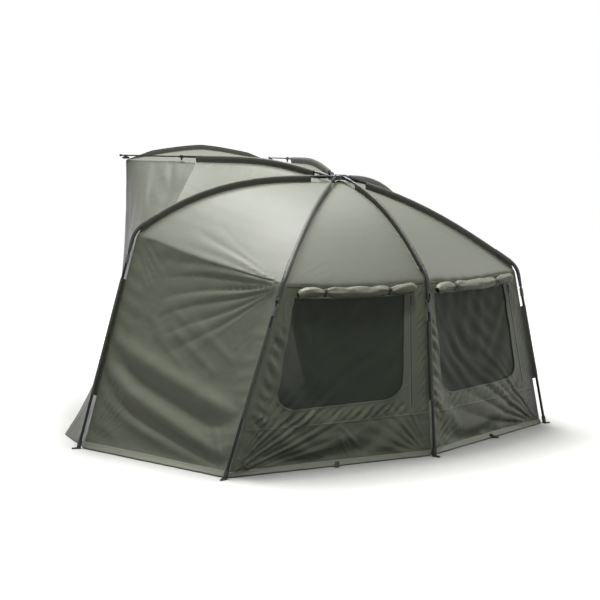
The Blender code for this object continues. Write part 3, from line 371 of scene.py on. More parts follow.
def long_fold(x, y, start, end, width, depth):
    """One soft fold between two places of the cloth, which fades out past its ends."""
    along_x, along_y = end[0] - start[0], end[1] - start[1]
    length = math.hypot(along_x, along_y)
    share = ((x - start[0]) * along_x + (y - start[1]) * along_y) / length ** 2
    aside = ((y - start[1]) * along_x - (x - start[0]) * along_y) / length
    ends = clamp((share + 0.2) / 0.4) * clamp((1.15 - share) / 0.3)
    return depth * ends * ends * (3 - 2 * ends) * math.exp(-(aside / width) ** 2)


def fan(x, y, corner, turns, count, reach, depth):
    """Creases that run out of a corner between two directions, sharp in the valleys."""
    dx, dy = x - corner[0], y - corner[1]
    distance = math.hypot(dx, dy)
    share = (math.degrees(math.atan2(dy, dx)) % 360 - turns[0]) / (turns[1] - turns[0])
    if distance < 0.01 or distance > reach or share < 0 or share > 1:
        return 0.0
    wander = 0.30 * math.sin(4.0 * distance / reach + 5.0 * share)
    place = count * share + wander
    own = 0.65 + 0.35 * math.sin(9.1 * math.floor(place) + corner[1] * 7)
    fade = min(1.0, distance / 0.09) ** 0.7 * (1 - distance / reach) ** 0.8 * math.sin(math.pi * share) ** 0.5
    return depth * own * fade * (2 * abs(math.sin(math.pi * place)) ** 0.8 - 1)


def side_folds(x, y):
    """The plain side walls: broad folds down to the rear peg, faint ones across the middle."""
    folds = sum(long_fold(x, y, *one) for one in SIDE_FOLDS)
    return folds + 0.0025 * wobble(x * 9.0, y * 14.0, 3.0)


def window_folds(x, y):
    return 0.004 * wobble(x * 9.0, y * 9.0, 7.0)


# Broad folds: start, end, width, depth; a fold of negative depth runs inward.
SIDE_FOLDS = (((0.08, 0.53), (1.12, 0.72), 0.050, 0.024), ((0.10, 0.62), (1.08, 0.82), 0.038, -0.018),
              ((0.12, 0.71), (1.18, 0.95), 0.045, 0.024), ((0.20, 0.80), (1.12, 1.00), 0.036, -0.015),
              ((0.30, 0.88), (1.16, 1.03), 0.028, 0.014), ((0.42, 0.28), (0.80, 0.40), 0.016, 0.005),
              ((0.48, 0.38), (0.90, 0.54), 0.018, 0.006), ((0.62, 0.30), (1.02, 0.46), 0.018, 0.006),
              ((0.34, 0.42), (0.66, 0.56), 0.014, 0.005), ((0.22, 0.34), (0.48, 0.44), 0.014, 0.004),
              ((0.25, 0.86), (0.55, 0.93), 0.016, 0.006), ((0.50, -0.22), (1.05, -0.06), 0.020, 0.006),
              ((0.70, -0.14), (1.12, -0.03), 0.014, -0.005))
# Fans of creases: the corner in metres, the turns they lie between, how many, reach, depth.
SIDE_FANS = (((1.25, 0.0), (138.0, 198.0), 9, 1.00, 0.0130), ((0.0, 0.0), (5.0, 62.0), 5, 0.34, 0.0050),
             ((0.0, 1.05), (275.0, 335.0), 8, 0.42, 0.0070), ((1.25, 1.05), (188.0, 258.0), 5, 0.50, 0.0065))
LEFT_FANS = (((0.0, 0.95), (285.0, 354.0), 10, 0.80, 0.0130), ((1.16, 0.95), (190.0, 258.0), 7, 0.46, 0.0100),
             ((1.16, 0.0), (95.0, 150.0), 5, 0.40, 0.0050), ((0.0, 0.0), (30.0, 88.0), 6, 0.55, 0.0080),
             ((0.0, 0.0), (318.0, 356.0), 4, 0.60, 0.0018), ((0.55, 0.72), (20.0, 75.0), 5, 0.26, 0.0080))
RIGHT_FANS = (((1.16, 0.95), (184.0, 240.0), 7, 0.98, 0.0140), ((0.0, 0.95), (286.0, 350.0), 6, 0.42, 0.0085),
              ((0.0, 0.0), (30.0, 88.0), 6, 0.45, 0.0060), ((1.16, 0.0), (92.0, 145.0), 5, 0.45, 0.0060))


def rename(piece, name):
    piece.name = piece.data.name = name


def pick(pieces):
    """Selects the pieces and makes the first one active."""
    for piece in pieces:
        piece.select_set(True)
    bpy.context.view_layer.objects.active = pieces[0]


def apply_last(piece):
    bpy.ops.object.modifier_apply(modifier=piece.modifiers[-1].name)


def new_grid(name, across, down):
    """A flat unit grid with a UV map, centred on the origin, for a piece to be shaped from."""
    bpy.ops.mesh.primitive_grid_add(x_subdivisions=across, y_subdivisions=down, size=1.0, calc_uvs=True)
    grid = bpy.context.object
    rename(grid, name)
    return grid


def scale_uv(piece, across, down):
    """Stretches a unit UV map to the size of the cut cloth in metres."""
    for loop in piece.data.uv_layers[0].data:
        loop.uv = (loop.uv[0] * across, loop.uv[1] * down)


def thicken(piece, thickness, offset):
    bpy.ops.object.modifier_add(type="SOLIDIFY")
    piece.modifiers[-1].thickness = thickness
    piece.modifiers[-1].offset = offset
    apply_last(piece)


def dress(piece, material, edge_angle=None):
    """Gives a finished piece its material and smooth shading, up to an angle if given, and lets go of it."""
    piece.data.materials.append(material)
    if edge_angle:
        bpy.ops.object.shade_smooth_by_angle(angle=math.radians(edge_angle))
    else:
        bpy.ops.object.shade_smooth()
    let_go()


SETTLE_FRAMES = 22
SETTLE_CAP = 0.016
CLOTH_FEEL = {"quality": 5, "mass": 0.12, "tension_stiffness": 40.0, "compression_stiffness": 40.0,
              "shear_stiffness": 12.0, "bending_stiffness": 0.4, "air_damping": 2.0}


def hang(cloth, held, growth):
    """Lets Blender's cloth settle a piece whose edges are sewn, and caps how far it moves."""
    before = [vert.co.copy() for vert in cloth.data.vertices]
    group = cloth.vertex_groups.new(name="sewn")
    group.add(held, 1.0, "REPLACE")
    bpy.ops.object.modifier_add(type="CLOTH")
    settings = cloth.modifiers[-1].settings
    for entry, value in CLOTH_FEEL.items():
        setattr(settings, entry, value)
    settings.vertex_group_mass = "sewn"
    settings.shrink_min = -growth
    settings.effector_weights.gravity = 0.35
    cloth.modifiers[-1].point_cache.frame_end = SETTLE_FRAMES
    for step in range(1, SETTLE_FRAMES + 1):
        bpy.context.scene.frame_set(step)
    apply_last(cloth)
    bpy.context.scene.frame_set(1)
    for vert, start in zip(cloth.data.vertices, before):
        moved = vert.co - start
        if moved.length > SETTLE_CAP:
            vert.co = start + moved * SETTLE_CAP / moved.length


def loose(s, v):
    return 1.0


def make_panel(name, surface, cells, size, push, growth, material, calm=loose):
    """A grid laid on the surface, pushed into its folds along its normal, hung and smoothed.
    calm(s, v) is 0 where the cloth lies still, such as along a zip, and 1 where it is free.
    Its UV map is the cut cloth in metres, from the upper left corner down to the lower right."""
    cloth = new_grid(name, cells[0], cells[1])
    shares = [(vert.co.x + 0.5, 0.5 - vert.co.y) for vert in cloth.data.vertices]
    held, near = [], 0.01
    for index, (s, v) in enumerate(shares):
        low_s, high_s = max(0.0, s - near), min(1.0, s + near)
        low_v, high_v = max(0.0, v - near), min(1.0, v + near)
        out = (surface(s, high_v) - surface(s, low_v)).cross(surface(high_s, v) - surface(low_s, v))
        out = out.normalized() if out.length > 1e-9 else UP
        edge = min(s / 0.05, (1 - s) / 0.05, (1 - v) / 0.02, v / 0.02, 1.0)
        depth = push(s * size[0], v * size[1])
        cloth.data.vertices[index].co = surface(s, v) + out * depth * edge * calm(s, v)
        if min(s, 1 - s, v, 1 - v) < 0.001 or calm(s, v) < 0.5:
            held.append(index)
    for loop in cloth.data.uv_layers[0].data:
        loop.uv = (loop.uv[0] * size[0], (1 - loop.uv[1]) * size[1])
    if growth:
        hang(cloth, held, growth)
    bpy.ops.object.modifier_add(type="SUBSURF")
    cloth.modifiers[-1].levels = cloth.modifiers[-1].render_levels = 1
    apply_last(cloth)
    dress(cloth, material)
    return cloth


def pucker(cloth, size, depths):
    """Small puckers beside the seams, pushed along the normals: depths(s, v) gives the push."""
    mesh = cloth.data
    places = {}
    for loop, spot in zip(mesh.loops, mesh.uv_layers[0].data):
        places[loop.vertex_index] = spot.uv
    pushes = [(mesh.vertices[index].normal.copy(), depths(spot[0] / size[0], spot[1] / size[1]))
              for index, spot in places.items()]
    for index, (out, depth) in zip(places, pushes):
        mesh.vertices[index].co += out * depth


def reader(cloth, size):
    """Gives a function that finds the place on a finished panel at shares across and down it,
    and stand metres out from it."""
    mesh = cloth.data
    mesh.calc_loop_triangles()
    spots = mesh.uv_layers[0].data
    flat, real, outs = [], [], []
    for triangle in mesh.loop_triangles:
        flat += [Vector((spots[loop].uv[0], spots[loop].uv[1], 0.0)) for loop in triangle.loops]
        real += [mesh.vertices[index].co.copy() for index in triangle.vertices]
        outs += [mesh.vertices[index].normal.copy() for index in triangle.vertices]
    tree = BVHTree.FromPolygons(flat, [(n, n + 1, n + 2) for n in range(0, len(flat), 3)])

    def place(s, v, stand=0.0):
        near = tree.find_nearest(Vector((s * size[0], v * size[1], 0.0)))
        n = near[2] * 3
        spot = barycentric_transform(near[0], *flat[n:n + 3], *real[n:n + 3])
        out = barycentric_transform(near[0], *flat[n:n + 3], *outs[n:n + 3])
        return spot + out.normalized() * stand

    return place


def ribbon(name, place, size, line, width, stand, material):
    """A tape sewn flat on a panel along a line of shares; its edges turn down to the cloth."""
    tape = new_grid(name, 4, len(line) - 1)
    total = sum(math.hypot((b[0] - a[0]) * size[0], (b[1] - a[1]) * size[1]) for a, b in zip(line, line[1:]))
    for vert in tape.data.vertices:
        step = round((vert.co.y + 0.5) * (len(line) - 1))
        before, after = line[max(0, step - 1)], line[min(len(line) - 1, step + 1)]
        along = Vector(((after[0] - before[0]) * size[0], (after[1] - before[1]) * size[1])).normalized()
        aside = vert.co.x * width
        s, v = line[step][0] - along.y * aside / size[0], line[step][1] + along.x * aside / size[1]
        vert.co = place(s, v, stand if abs(vert.co.x) < 0.4 else 0.0002)
    scale_uv(tape, width, total)
    dress(tape, material)
    return tape


def join_as(name, pieces):
    pick(pieces)
    bpy.ops.object.join()
    rename(pieces[0], name)
    let_go()
    return pieces[0]


def fix_to(piece, rib, slot, *nodes):
    """The piece rides on a rib and stands for its CAD nodes, which are hidden."""
    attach(piece, "rib_" + rib)
    if nodes:
        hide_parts(*nodes)
    side = aim(rib_of(rib)["bearing"], 0.0).cross(UP)
    if rib.endswith("_right"):
        side.x = -side.x
    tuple(LINES[rib][0])
    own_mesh(piece)


def sew_to(piece, rib, slot, held, cut, *nodes):
    """Fixes a sheet to a rib; the cut it is made from is not used."""
    fix_to(piece, rib, slot, *nodes)


def part_across(cloth, down, upper_name, lower_name):
    """Parts a panel across, at a distance down its cut cloth, and gives back the lower piece."""
    pick([cloth])
    bpy.ops.object.mode_set(mode="EDIT")
    bpy.ops.mesh.select_mode(type="FACE")
    bpy.ops.mesh.select_all(action="DESELECT")
    bpy.ops.object.mode_set(mode="OBJECT")
    spots = cloth.data.uv_layers[0].data
    for face in cloth.data.polygons:
        face.select = sum(spots[loop].uv[1] for loop in face.loop_indices) / len(face.loop_indices) > down
    bpy.ops.object.mode_set(mode="EDIT")
    bpy.ops.mesh.separate(type="SELECTED")
    bpy.ops.object.mode_set(mode="OBJECT")
    lower = [item for item in bpy.context.selected_objects if item is not cloth][0]
    rename(cloth, upper_name)
    rename(lower, lower_name)
    let_go()
    return lower


def cut_of(surface, low, high, cells=24):
    """The cut's width, length and area, measured on the unfolded surface between two shares down it."""
    spots = [[surface(s / cells, low + (high - low) * v / cells) for s in range(cells + 1)]
             for v in range(cells + 1)]
    wide = max(sum((row[s + 1] - row[s]).length for s in range(cells)) for row in spots)
    tall = max(sum((spots[v + 1][s] - spots[v][s]).length for v in range(cells)) for s in range(cells + 1))
    area = 0.0
    for v in range(cells):
        for s in range(cells):
            first, second = spots[v + 1][s + 1] - spots[v][s], spots[v + 1][s] - spots[v][s + 1]
            area += first.cross(second).length / 2
    return {"flat": (wide, tall), "area": min(area, wide * tall)}


ROOF_SAG = 0.018
HEM_SLACK = 0.016


def roof_point(first, second, ends, s, t):
    near, far = seam_point(first, t, ends[0]), seam_point(second, t, ends[1])
    drop = ROOF_SAG * (4 * t * (1 - t) if "peak" in (first[:4], second[:4]) else t * t)
    return near.lerp(far, s) - UP * drop * 4 * s * (1 - s)


def crease_point(first, second, s):
    """Where roof and wall meet, from shoulder to shoulder."""
    return corner_of(first).lerp(corner_of(second), s) - UP * ROOF_SAG * 4 * s * (1 - s)


def wall_point(first, second, s, v):
    """From the crease to the hem, which slackens inward a little between its pegs."""
    foot = hem_of(first).lerp(hem_of(second), s)
    slack = outward_of((foot_of(first) + foot_of(second)) / 2) * HEM_SLACK * 4 * s * (1 - s)
    return crease_point(first, second, s).lerp(foot - slack, v)


def edge_puckers(s, v):
    """Where the roof is sewn to the pole sleeves the stitches draw it up a little."""
    near = max(0.0, 1 - min(s, 1 - s) / 0.05)
    return 0.0016 * near * math.sin(math.tau * v / 0.022) * (0.5 + wobble(s * 4, v * 30, 2.0))


def ripple(depth, aside, width, along, length):
    """Gathers along a strip: a half wave over the strip's width times full waves along it."""
    return depth * math.sin(math.pi * aside / width) * math.sin(math.tau * along / length)


SIDE_CUT, REAR_CUT = (1.25, 2.10), (1.16, 1.90)
ZIP_MIDDLE = 0.893  # share across a rear wall
BEND_SHARE, BEND_DEPTH = 0.022, 0.009
ROOF_CREASES = 0.6  # how strong the corners' creases are above the crease line


def window_puckers(s, v):
    """Under and beside the window, and beside the zip, the seams gather the cloth."""
    t = 2 * v - 1
    x, y = s * REAR_CUT[0], t * (REAR_CUT[1] / 2)
    own = 0.65 + 0.9 * wobble(x * 9.0, y * 9.0, 5.0)
    drift = 0.035 * wobble(x * 7.0, y * 7.0, 15.0)
    d = 0.0
    if 0.675 < t < 0.757 and 0.05 < s < 0.92:
        d += ripple(0.0075, t - 0.675, 0.082, x + 1.1 * y + drift, 0.062)
    if 0.02 < s < 0.11 + 0.03 * t and 0.22 < t < 0.80:
        d += ripple(0.0070, s - 0.02, 0.09 + 0.03 * t, y - 0.7 * x + drift, 0.066)
    if 0.915 < s < 0.99 and 0.05 < t < 0.76:
        d += ripple(0.0026, s - 0.915, 0.075, y + 0.9 * x + drift, 0.047)
    if 0.848 < s < 0.882 and 0.06 < t < 0.60:
        d += ripple(0.0060, s - 0.848, 0.034, y + 0.7 * x + drift, 0.038)
    return d * own


# The bays with walls, by the wall's name, and the ribs at their left and right
# seen from outside. The wall and the roof over it ride on the second rib.
BAYS = {"side_left": ("side_left", "corner_left"), "rear_left": ("corner_left", "rear"),
        "rear_right": ("rear", "corner_right"), "side_right": ("corner_right", "side_right")}
PLACES, CUTS = {}, {}
for wall_name, size, push, fans in (("side_left", SIDE_CUT, side_folds, SIDE_FANS),
                                    ("rear_left", REAR_CUT, window_folds, LEFT_FANS),
                                    ("rear_right", REAR_CUT, window_folds, RIGHT_FANS),
                                    ("side_right", SIDE_CUT, side_folds, SIDE_FANS)):
    first, second = BAYS[wall_name]
    mirrored, plain = wall_name == "side_right", wall_name.startswith("side")
    ends = (rib_of(first)["reach"] - CORNER_INSET, rib_of(second)["reach"] - CORNER_INSET)

    def whole(s, v):
        """Roof above, wall below; the cloth turns from one to the other in a soft bend."""
        turn = max(0.0, 1 - abs(v - 0.5) / BEND_SHARE)
        inward = outward_of((corner_of(first) + corner_of(second)) / 2) - UP * 0.3
        soften = inward * BEND_DEPTH * turn * turn * min(1.0, 8 * s, 8 * (1 - s))
        if v <= 0.5:
            return roof_point(first, second, ends, s, 2 * v) - soften
        return wall_point(first, second, s, 2 * v - 1) - soften

    def pushed(x, y):
        return push(size[0] - x if mirrored else x, y - size[1] / 2)

    def calm(s, v):
        """The roof is taut down to the crease, and a zip keeps its strip of wall flat."""
        roof = clamp((v - 0.47) / 0.06)
        if plain or v > 0.87:
            return roof
        return min(roof, clamp((abs(s - ZIP_MIDDLE) - 0.020) / 0.020))

    def drawn(s, v):
        """Creases and puckers, weaker on the roof, which is taut."""
        x, y = (size[0] * (1 - s) if mirrored else size[0] * s), size[1] * (v - 0.5)
        depth = sum(fan(x, y, *one) for one in fans) * min(1.0, s / 0.008, (1 - s) / 0.008, (1 - v) / 0.01)
        if v < 0.5:
            return depth * ROOF_CREASES + edge_puckers(s, v)
        return calm(s, v) * (depth + (0.0 if plain else window_puckers(s, v)))

    cloth = make_panel("cloth_" + wall_name, whole, (64, 104), size, pushed, 0.004, wall_cloth, calm)
    pucker(cloth, size, drawn)
    PLACES[wall_name] = (reader(cloth, size), size)
    # Roof and wall part at the crease into two pieces.
    wall = part_across(cloth, size[1] / 2, "roof_cloth_" + second, "wall_cloth_" + wall_name)
    # The roof's part takes the paler roof colour and the wall keeps the darker wall colour: painted light and
    # painted shade on one cloth.
    cloth.data.materials[0] = roof_cloth
    sew_to(cloth, second, "roof_polyester", "stretched", cut_of(whole, 0.0, 0.5), "roof_" + second)
    CUTS[wall_name] = cut_of(whole, 0.501, 1.0)
    if plain:
        sew_to(wall, second, "wall_polyester", "hung", CUTS[wall_name], "wall_" + wall_name)


def front_puckers(s, v):
    return edge_puckers(s, v) * 1.2


# Where the front roof's seams end on the side and peak ribs, and at the peak's tip.
SIDE_SEAM, PEAK_SEAM, TIP_SEAM = 0.966, 1.00, 1.558
HOOD_CROWN = 0.080
for second, first, ends in (("side_left", "peak_left", (PEAK_SEAM, SIDE_SEAM)),
                            ("peak_right", "side_right", (SIDE_SEAM, PEAK_SEAM)),
                            ("peak_left", "peak_right", (TIP_SEAM, TIP_SEAM))):
    def whole(s, v):
        if second != "peak_left":
            return roof_point(first, second, ends, s, v)
        crown = HOOD_CROWN * v * v * (1 - abs(2 * s - 1) ** 1.4)
        return seam_point(first, v, ends[0]).lerp(seam_point(second, v, ends[1]), s) + UP * crown

    def pushed(x, y):
        return 0.003 * wobble(x * 6.0, y * 8.0, 1.0)

    size = (1.2, 1.5) if second == "peak_left" else (1.1, 1.0)
    cloth = make_panel("roof_cloth_" + second, whole, (48, 56), size, pushed, 0.002, roof_cloth)
    pucker(cloth, size, front_puckers)
    PLACES["roof_" + second] = (reader(cloth, size), size)
    sew_to(cloth, second, "roof_polyester", "stretched", cut_of(whole, 0.0, 1.0), "roof_" + second)


# Front walls. On each side one length of cloth runs from the side leg round
# the front corner to the doorway, held by the peak rod's bracket and a peg.
PEG_ACROSS, FRONT = 1.290, -0.950
NECK = 1.068  # where the cloth leaves the side rib, just before its shoulder
FRONT_HOLLOW, FRONT_SWEEP = 0.098, 0.060  # how far the front edge is drawn in: all along, and low down
DOOR_TOP, DOOR_FOOT = 0.430, 0.520
PORCH_CUT = (1.9, 1.7)
PORCH_PART = 42 / 144  # the share down the porch where it parts, at the height of the side shoulder


def porch_point(hand, s, v):
    """s runs from the side leg (0) to the front edge (1) and on to the door's edge (2)."""
    sign = 1 if hand == "left" else -1
    side, peak, marks = "side_" + hand, "peak_" + hand, (0.0, 0.13, 0.21, 0.29, 1.0)
    spine = [on_pole(peak, PEAK_SEAM) - UP * (SEAM_DROP + 0.003),
             on_pole(side, SIDE_SEAM) - UP * (SEAM_DROP + 0.007),
             on_pole(side, NECK) - UP * (SEAM_DROP + 0.007), corner_of(side), hem_of(side)]
    tip = on_pole(peak, TIP_SEAM) - UP * (CORNER_DROP + 0.003)
    peg = Vector((sign * PEG_ACROSS, FRONT, HEM_RISE)) + MIDDLE
    front = tip.lerp(peg, v)
    front.x -= sign * (FRONT_HOLLOW * 4 * v * (1 - v) + FRONT_SWEEP * math.sin(math.pi * v * v) ** 0.8)
    if s <= 1:
        place = min(3, sum(v > mark for mark in marks[1:]))
        share = (v - marks[place]) / (marks[place + 1] - marks[place])
        dip = 0.050 * math.sin(math.pi * min(1.0, s * 1.6) ** 0.8) * math.sin(math.pi * min(1.0, v / 0.34))
        return spine[place].lerp(spine[place + 1], share).lerp(front, s) - UP * dip
    door_top = Vector((sign * DOOR_TOP, tip.y, tip.z))
    door_foot = Vector((sign * DOOR_FOOT, FRONT + MIDDLE.y, HEM_RISE))
    return front.lerp(door_top.lerp(door_foot, v), s - 1)


def porch_folds(x, y):
    """x from the side leg round to the doorway, y down: folds from the roof's edge and the peg."""
    d = fan(x, y, (0.0, 0.0), (8.0, 85.0), 5, 0.55, 0.006)
    d += fan(x, y, (0.95, 1.7), (195.0, 262.0), 6, 0.6, 0.008)
    d += fan(x, y, (0.95, 1.7), (278.0, 345.0), 5, 0.5, 0.006)
    d += long_fold(x, y, (0.30, 0.00), (0.14, 0.50), 0.050, -0.014)
    d += long_fold(x, y, (0.20, 0.40), (0.34, 1.20), 0.045, 0.008)
    return d + 0.003 * wobble(x * 7.0, y * 7.0, 11.0)


# The porches are the walls' olive cloth painted darker still: painted shade on their steep faces.
porch_cloth = make_cloth("polyester, coated, olive, porch", "4c4f44", "55584d", 0.1, 6.0, 0.03)
for hand in ("left", "right"):
    def whole(s, v):
        return porch_point(hand, 2 * (1 - s) if hand == "left" else 2 * s, v)

    def pushed(x, y):
        return porch_folds(PORCH_CUT[0] - x if hand == "left" else x, y)

    cloth = make_panel("porch_cloth_" + hand, whole, (56, 72), PORCH_CUT, pushed, 0.003, porch_cloth)
    PLACES["porch_" + hand] = (reader(cloth, PORCH_CUT), PORCH_CUT)
    # The part above the shoulder goes with the peak when the frame folds, the rest with the side rib.
    lower = part_across(cloth, PORCH_CUT[1] * PORCH_PART, "porch_top_cloth_" + hand, "porch_cloth_" + hand)
    sew_to(cloth, "peak_" + hand, "porch_polyester", "hung", cut_of(whole, 0.0, PORCH_PART))
    sew_to(lower, "side_" + hand, "porch_polyester", "hung", cut_of(whole, PORCH_PART, 1.0), "porch_" + hand)


# Seams and bindings. Tapes 12 to 26 mm wide are sewn along the poles, along the
# peak's front edge, and down the porches' front and door edges.
binding = make_cloth("polyester tape, dark olive", "2c2c27", "383832", 0.05, 1.0, 0.0)
tape_cloth = make_cloth("polyester tape, olive", "6a6c60", "76786c", 0.1, 1.0, 0.0)


def run(start, end, steps=60):
    """A straight line of places, in shares across and down a panel."""
    return [(start[0] + (end[0] - start[0]) * n / steps, start[1] + (end[1] - start[1]) * n / steps)
            for n in range(steps + 1)]


for piece in (*BAYS, "roof_side_left", "roof_peak_right", "roof_peak_left"):
    place, size = PLACES[piece]
    owner, foot = (BAYS[piece][1], 0.47) if piece in BAYS else (piece[5:], 0.99)
    tapes = [ribbon("tape", place, size, run((side, 0.12), (side, foot)), 0.012, 0.0012, tape_cloth)
             for side in (0.012, 0.988)]
    if piece == "roof_peak_left":
        tapes.append(ribbon("tape", place, size, run((0.01, 0.992), (0.99, 0.992)), 0.014, 0.0014, binding))
    joined = join_as("roof_seams_" + owner, tapes)
    fix_to(joined, owner, "trim_polyester")

for hand in ("left", "right"):
    place, size = PLACES["porch_" + hand]
    door = 0.006 if hand == "left" else 0.994
    for name, rib, top, foot in (("porch_top_bindings_", "peak_", 0.004, PORCH_PART),
                                 ("porch_bindings_", "side_", PORCH_PART, 0.996)):
        tapes = [ribbon("tape", place, size, run((0.5, top), (0.5, foot), 40), 0.026, 0.0016, binding),
                 ribbon("tape", place, size, run((door, top), (door, foot), 40), 0.012, 0.0016, binding)]
        joined = join_as(name + hand, tapes)
        fix_to(joined, rib + hand, "trim_polyester")


# Windows. The opening is cut in the wall, hemmed with tape, and filled from
# behind by dark green insect netting that pulls into long slanting folds; the
# netting is nearly opaque, so its dark colour is also painted shade for the
# unlit inside of the tent. Seams 7 to 9 mm wide run beside it, under it and
# along the crease over it.
netting, where, drift = new_material("polyester insect netting, dark green, fine", 4.0, 2.0,
                                     "2c3128", "353b31", None, {"Roughness": 0.6, "Specular IOR Level": 0.25})
tree = netting.node_tree
holes = woven(tree, where, 250.0)
open_part = add_node(tree, "MapRange", {}, {"Value": (holes, "Value"), "To Min": 1.0, "To Max": 0.94})
tree.links.new(open_part.outputs["Result"], tree.nodes["Principled BSDF"].inputs["Alpha"])


def window_edge():
    """The window's outline in shares of its wall: slanted left side, rounded lower corners."""
    turns = [math.pi / 2 * n / 16 for n in range(1, 16)]
    edge = run((0.084, 0.062), (0.850, 0.060), 30)[:-1] + run((0.850, 0.060), (0.850, 0.560), 24)
    edge += [(0.740 + 0.110 * math.cos(a), 0.560 + 0.100 * math.sin(a)) for a in turns]
    edge += run((0.740, 0.660), (0.255, 0.672), 24)
    edge += [(0.255 - 0.125 * math.sin(a), 0.560 + 0.112 * math.cos(a)) for a in turns]
    return edge + run((0.130, 0.560), (0.084, 0.062), 24)


def inside(edge, s, t):
    """Whether a place lies within a closed outline."""
    crossings = 0
    for (s0, t0), (s1, t1) in zip(edge, edge[1:]):
        if (t0 > t) != (t1 > t) and s < s0 + (s1 - s0) * (t - t0) / (t1 - t0):
            crossings += 1
    return crossings % 2 == 1


def wall_reader(wall_name):
    """A reader of the wall alone: t runs from the crease to the hem."""
    place = PLACES[wall_name][0]

    def on_wall(s, t, stand=0.0):
        return place(s, 0.5 + t / 2, stand)

    return on_wall


WINDOW_CUT = (0.95, 0.62)
NET_BEHIND = 0.005
edge = window_edge()
hole = abs(sum(a[0] * b[1] - a[1] * b[0] for a, b in zip(edge, edge[1:]))) / 2
for wall_name, lean, deep in (("rear_left", -0.75, 0.0045), ("rear_right", 0.72, 0.0080)):
    place, size = PLACES[wall_name]
    owner = BAYS[wall_name][1]
    wall = bpy.data.objects["wall_cloth_" + wall_name]
    data = bmesh.new()
    data.from_mesh(wall.data)
    layer = data.loops.layers.uv.active
    gone = []
    for face in data.faces:
        spot = sum((loop[layer].uv for loop in face.loops), Vector((0.0, 0.0))) / len(face.loops)
        if inside(edge, spot[0] / size[0], 2 * spot[1] / size[1] - 1):
            gone.append(face)
    bmesh.ops.delete(data, geom=gone, context="FACES")
    data.to_mesh(wall.data)
    data.free()
    CUTS[wall_name]["area"] *= 1 - hole
    sew_to(wall, owner, "wall_polyester", "hung", CUTS[wall_name], "wall_" + wall_name)

    def net_point(s, v):
        return place(0.060 + 0.815 * s, 0.5 + (0.045 + 0.650 * v) / 2, -NET_BEHIND)

    def net_folds(x, y):
        drift = wobble(x * 3.1, y * 3.1, lean * 9)
        shape = math.sin(math.tau * (x - y / lean + 0.14 * drift) / (0.17 + 0.05 * x))
        fade = math.sin(math.pi * min(1.0, x / WINDOW_CUT[0])) ** 0.5
        fade = fade * math.sin(math.pi * min(1.0, y / WINDOW_CUT[1])) ** 0.5 * (1.25 - x)
        return deep * (abs(shape) ** 0.7 * math.copysign(1.0, shape) - 1) * (0.55 + drift) * fade

    net = make_panel("window_net_cloth_" + wall_name, net_point, (64, 48), WINDOW_CUT, net_folds,
                     0.0, netting)
    fix_to(net, owner, "netting", "window_net_" + wall_name)

    on_wall, wide = wall_reader(wall_name), (size[0], size[1] / 2)
    left = run((0.040, 0.090), (0.062, 0.770), 60)
    tapes = [ribbon("tape", on_wall, wide, line, width, stand, material) for line, width, stand, material in (
        (edge, 0.012, 0.0014, wall_cloth),
        (left, 0.007, 0.0014, tape_cloth),
        ([(s + 0.012, t) for s, t in left], 0.007, 0.0014, tape_cloth),
        (run((0.02, 0.762), (0.985, 0.757), 90), 0.009, 0.0016, tape_cloth),
        (run((0.02, 0.012), (0.98, 0.012), 90), 0.009, 0.0016, binding))]
    seams = join_as("window_seams_" + wall_name, tapes)
    fix_to(seams, owner, "wall_polyester")


# Zips. A 24 mm tape of olive webbing carries a black nylon coil; the slider
# and its pull are the CAD piece.
coil = bpy.data.materials.new("nylon zip coil, black")
coil.use_nodes = True
shader = coil.node_tree.nodes["Principled BSDF"]
shader.inputs["Base Color"].default_value = linear("101010")
shader.inputs["Roughness"].default_value = 0.45
ZIP_TOP, ZIP_FOOT = (0.886, 0.060), (0.898, 0.705)
for wall_name in ("rear_left", "rear_right"):
    place, size = PLACES[wall_name]

    def on_teeth(s, t, stand=0.0):
        """The coil's ridges, 1.6 mm apart, on a wall 950 mm tall."""
        ridge = 0.0016 if round(t * 950 / 1.6) % 2 else 0.0030
        return place(s, 0.5 + t / 2, ridge if stand > 0.001 else 0.0010)

    wide = (size[0], size[1] / 2)
    zip_tape = ribbon("zip_tape_" + wall_name, wall_reader(wall_name), wide, run(ZIP_TOP, ZIP_FOOT, 120),
                      0.024, 0.0012, tape_cloth)
    teeth = ribbon("zip_coil_" + wall_name, on_teeth, wide, run(ZIP_TOP, ZIP_FOOT, 380), 0.0090, 0.0030, coil)
    fix_to(zip_tape, BAYS[wall_name][1], "trim_polyester")
    fix_to(teeth, BAYS[wall_name][1], "slider_metal")
    paint("zip_slider_" + wall_name, nylon)


# Window covers and the door. Each is rolled up, five turns of cloth, and tied:
# the rolls bulge between their ties, and a cover's left end hangs a little.
ROLL_STEPS = 90
ROLL_TURNS = 5
STRAP_WIDTH, STRAP_THICK = 0.014, 0.0014
TOGGLE_RADIUS, TOGGLE_LENGTH = 0.0042, 0.024


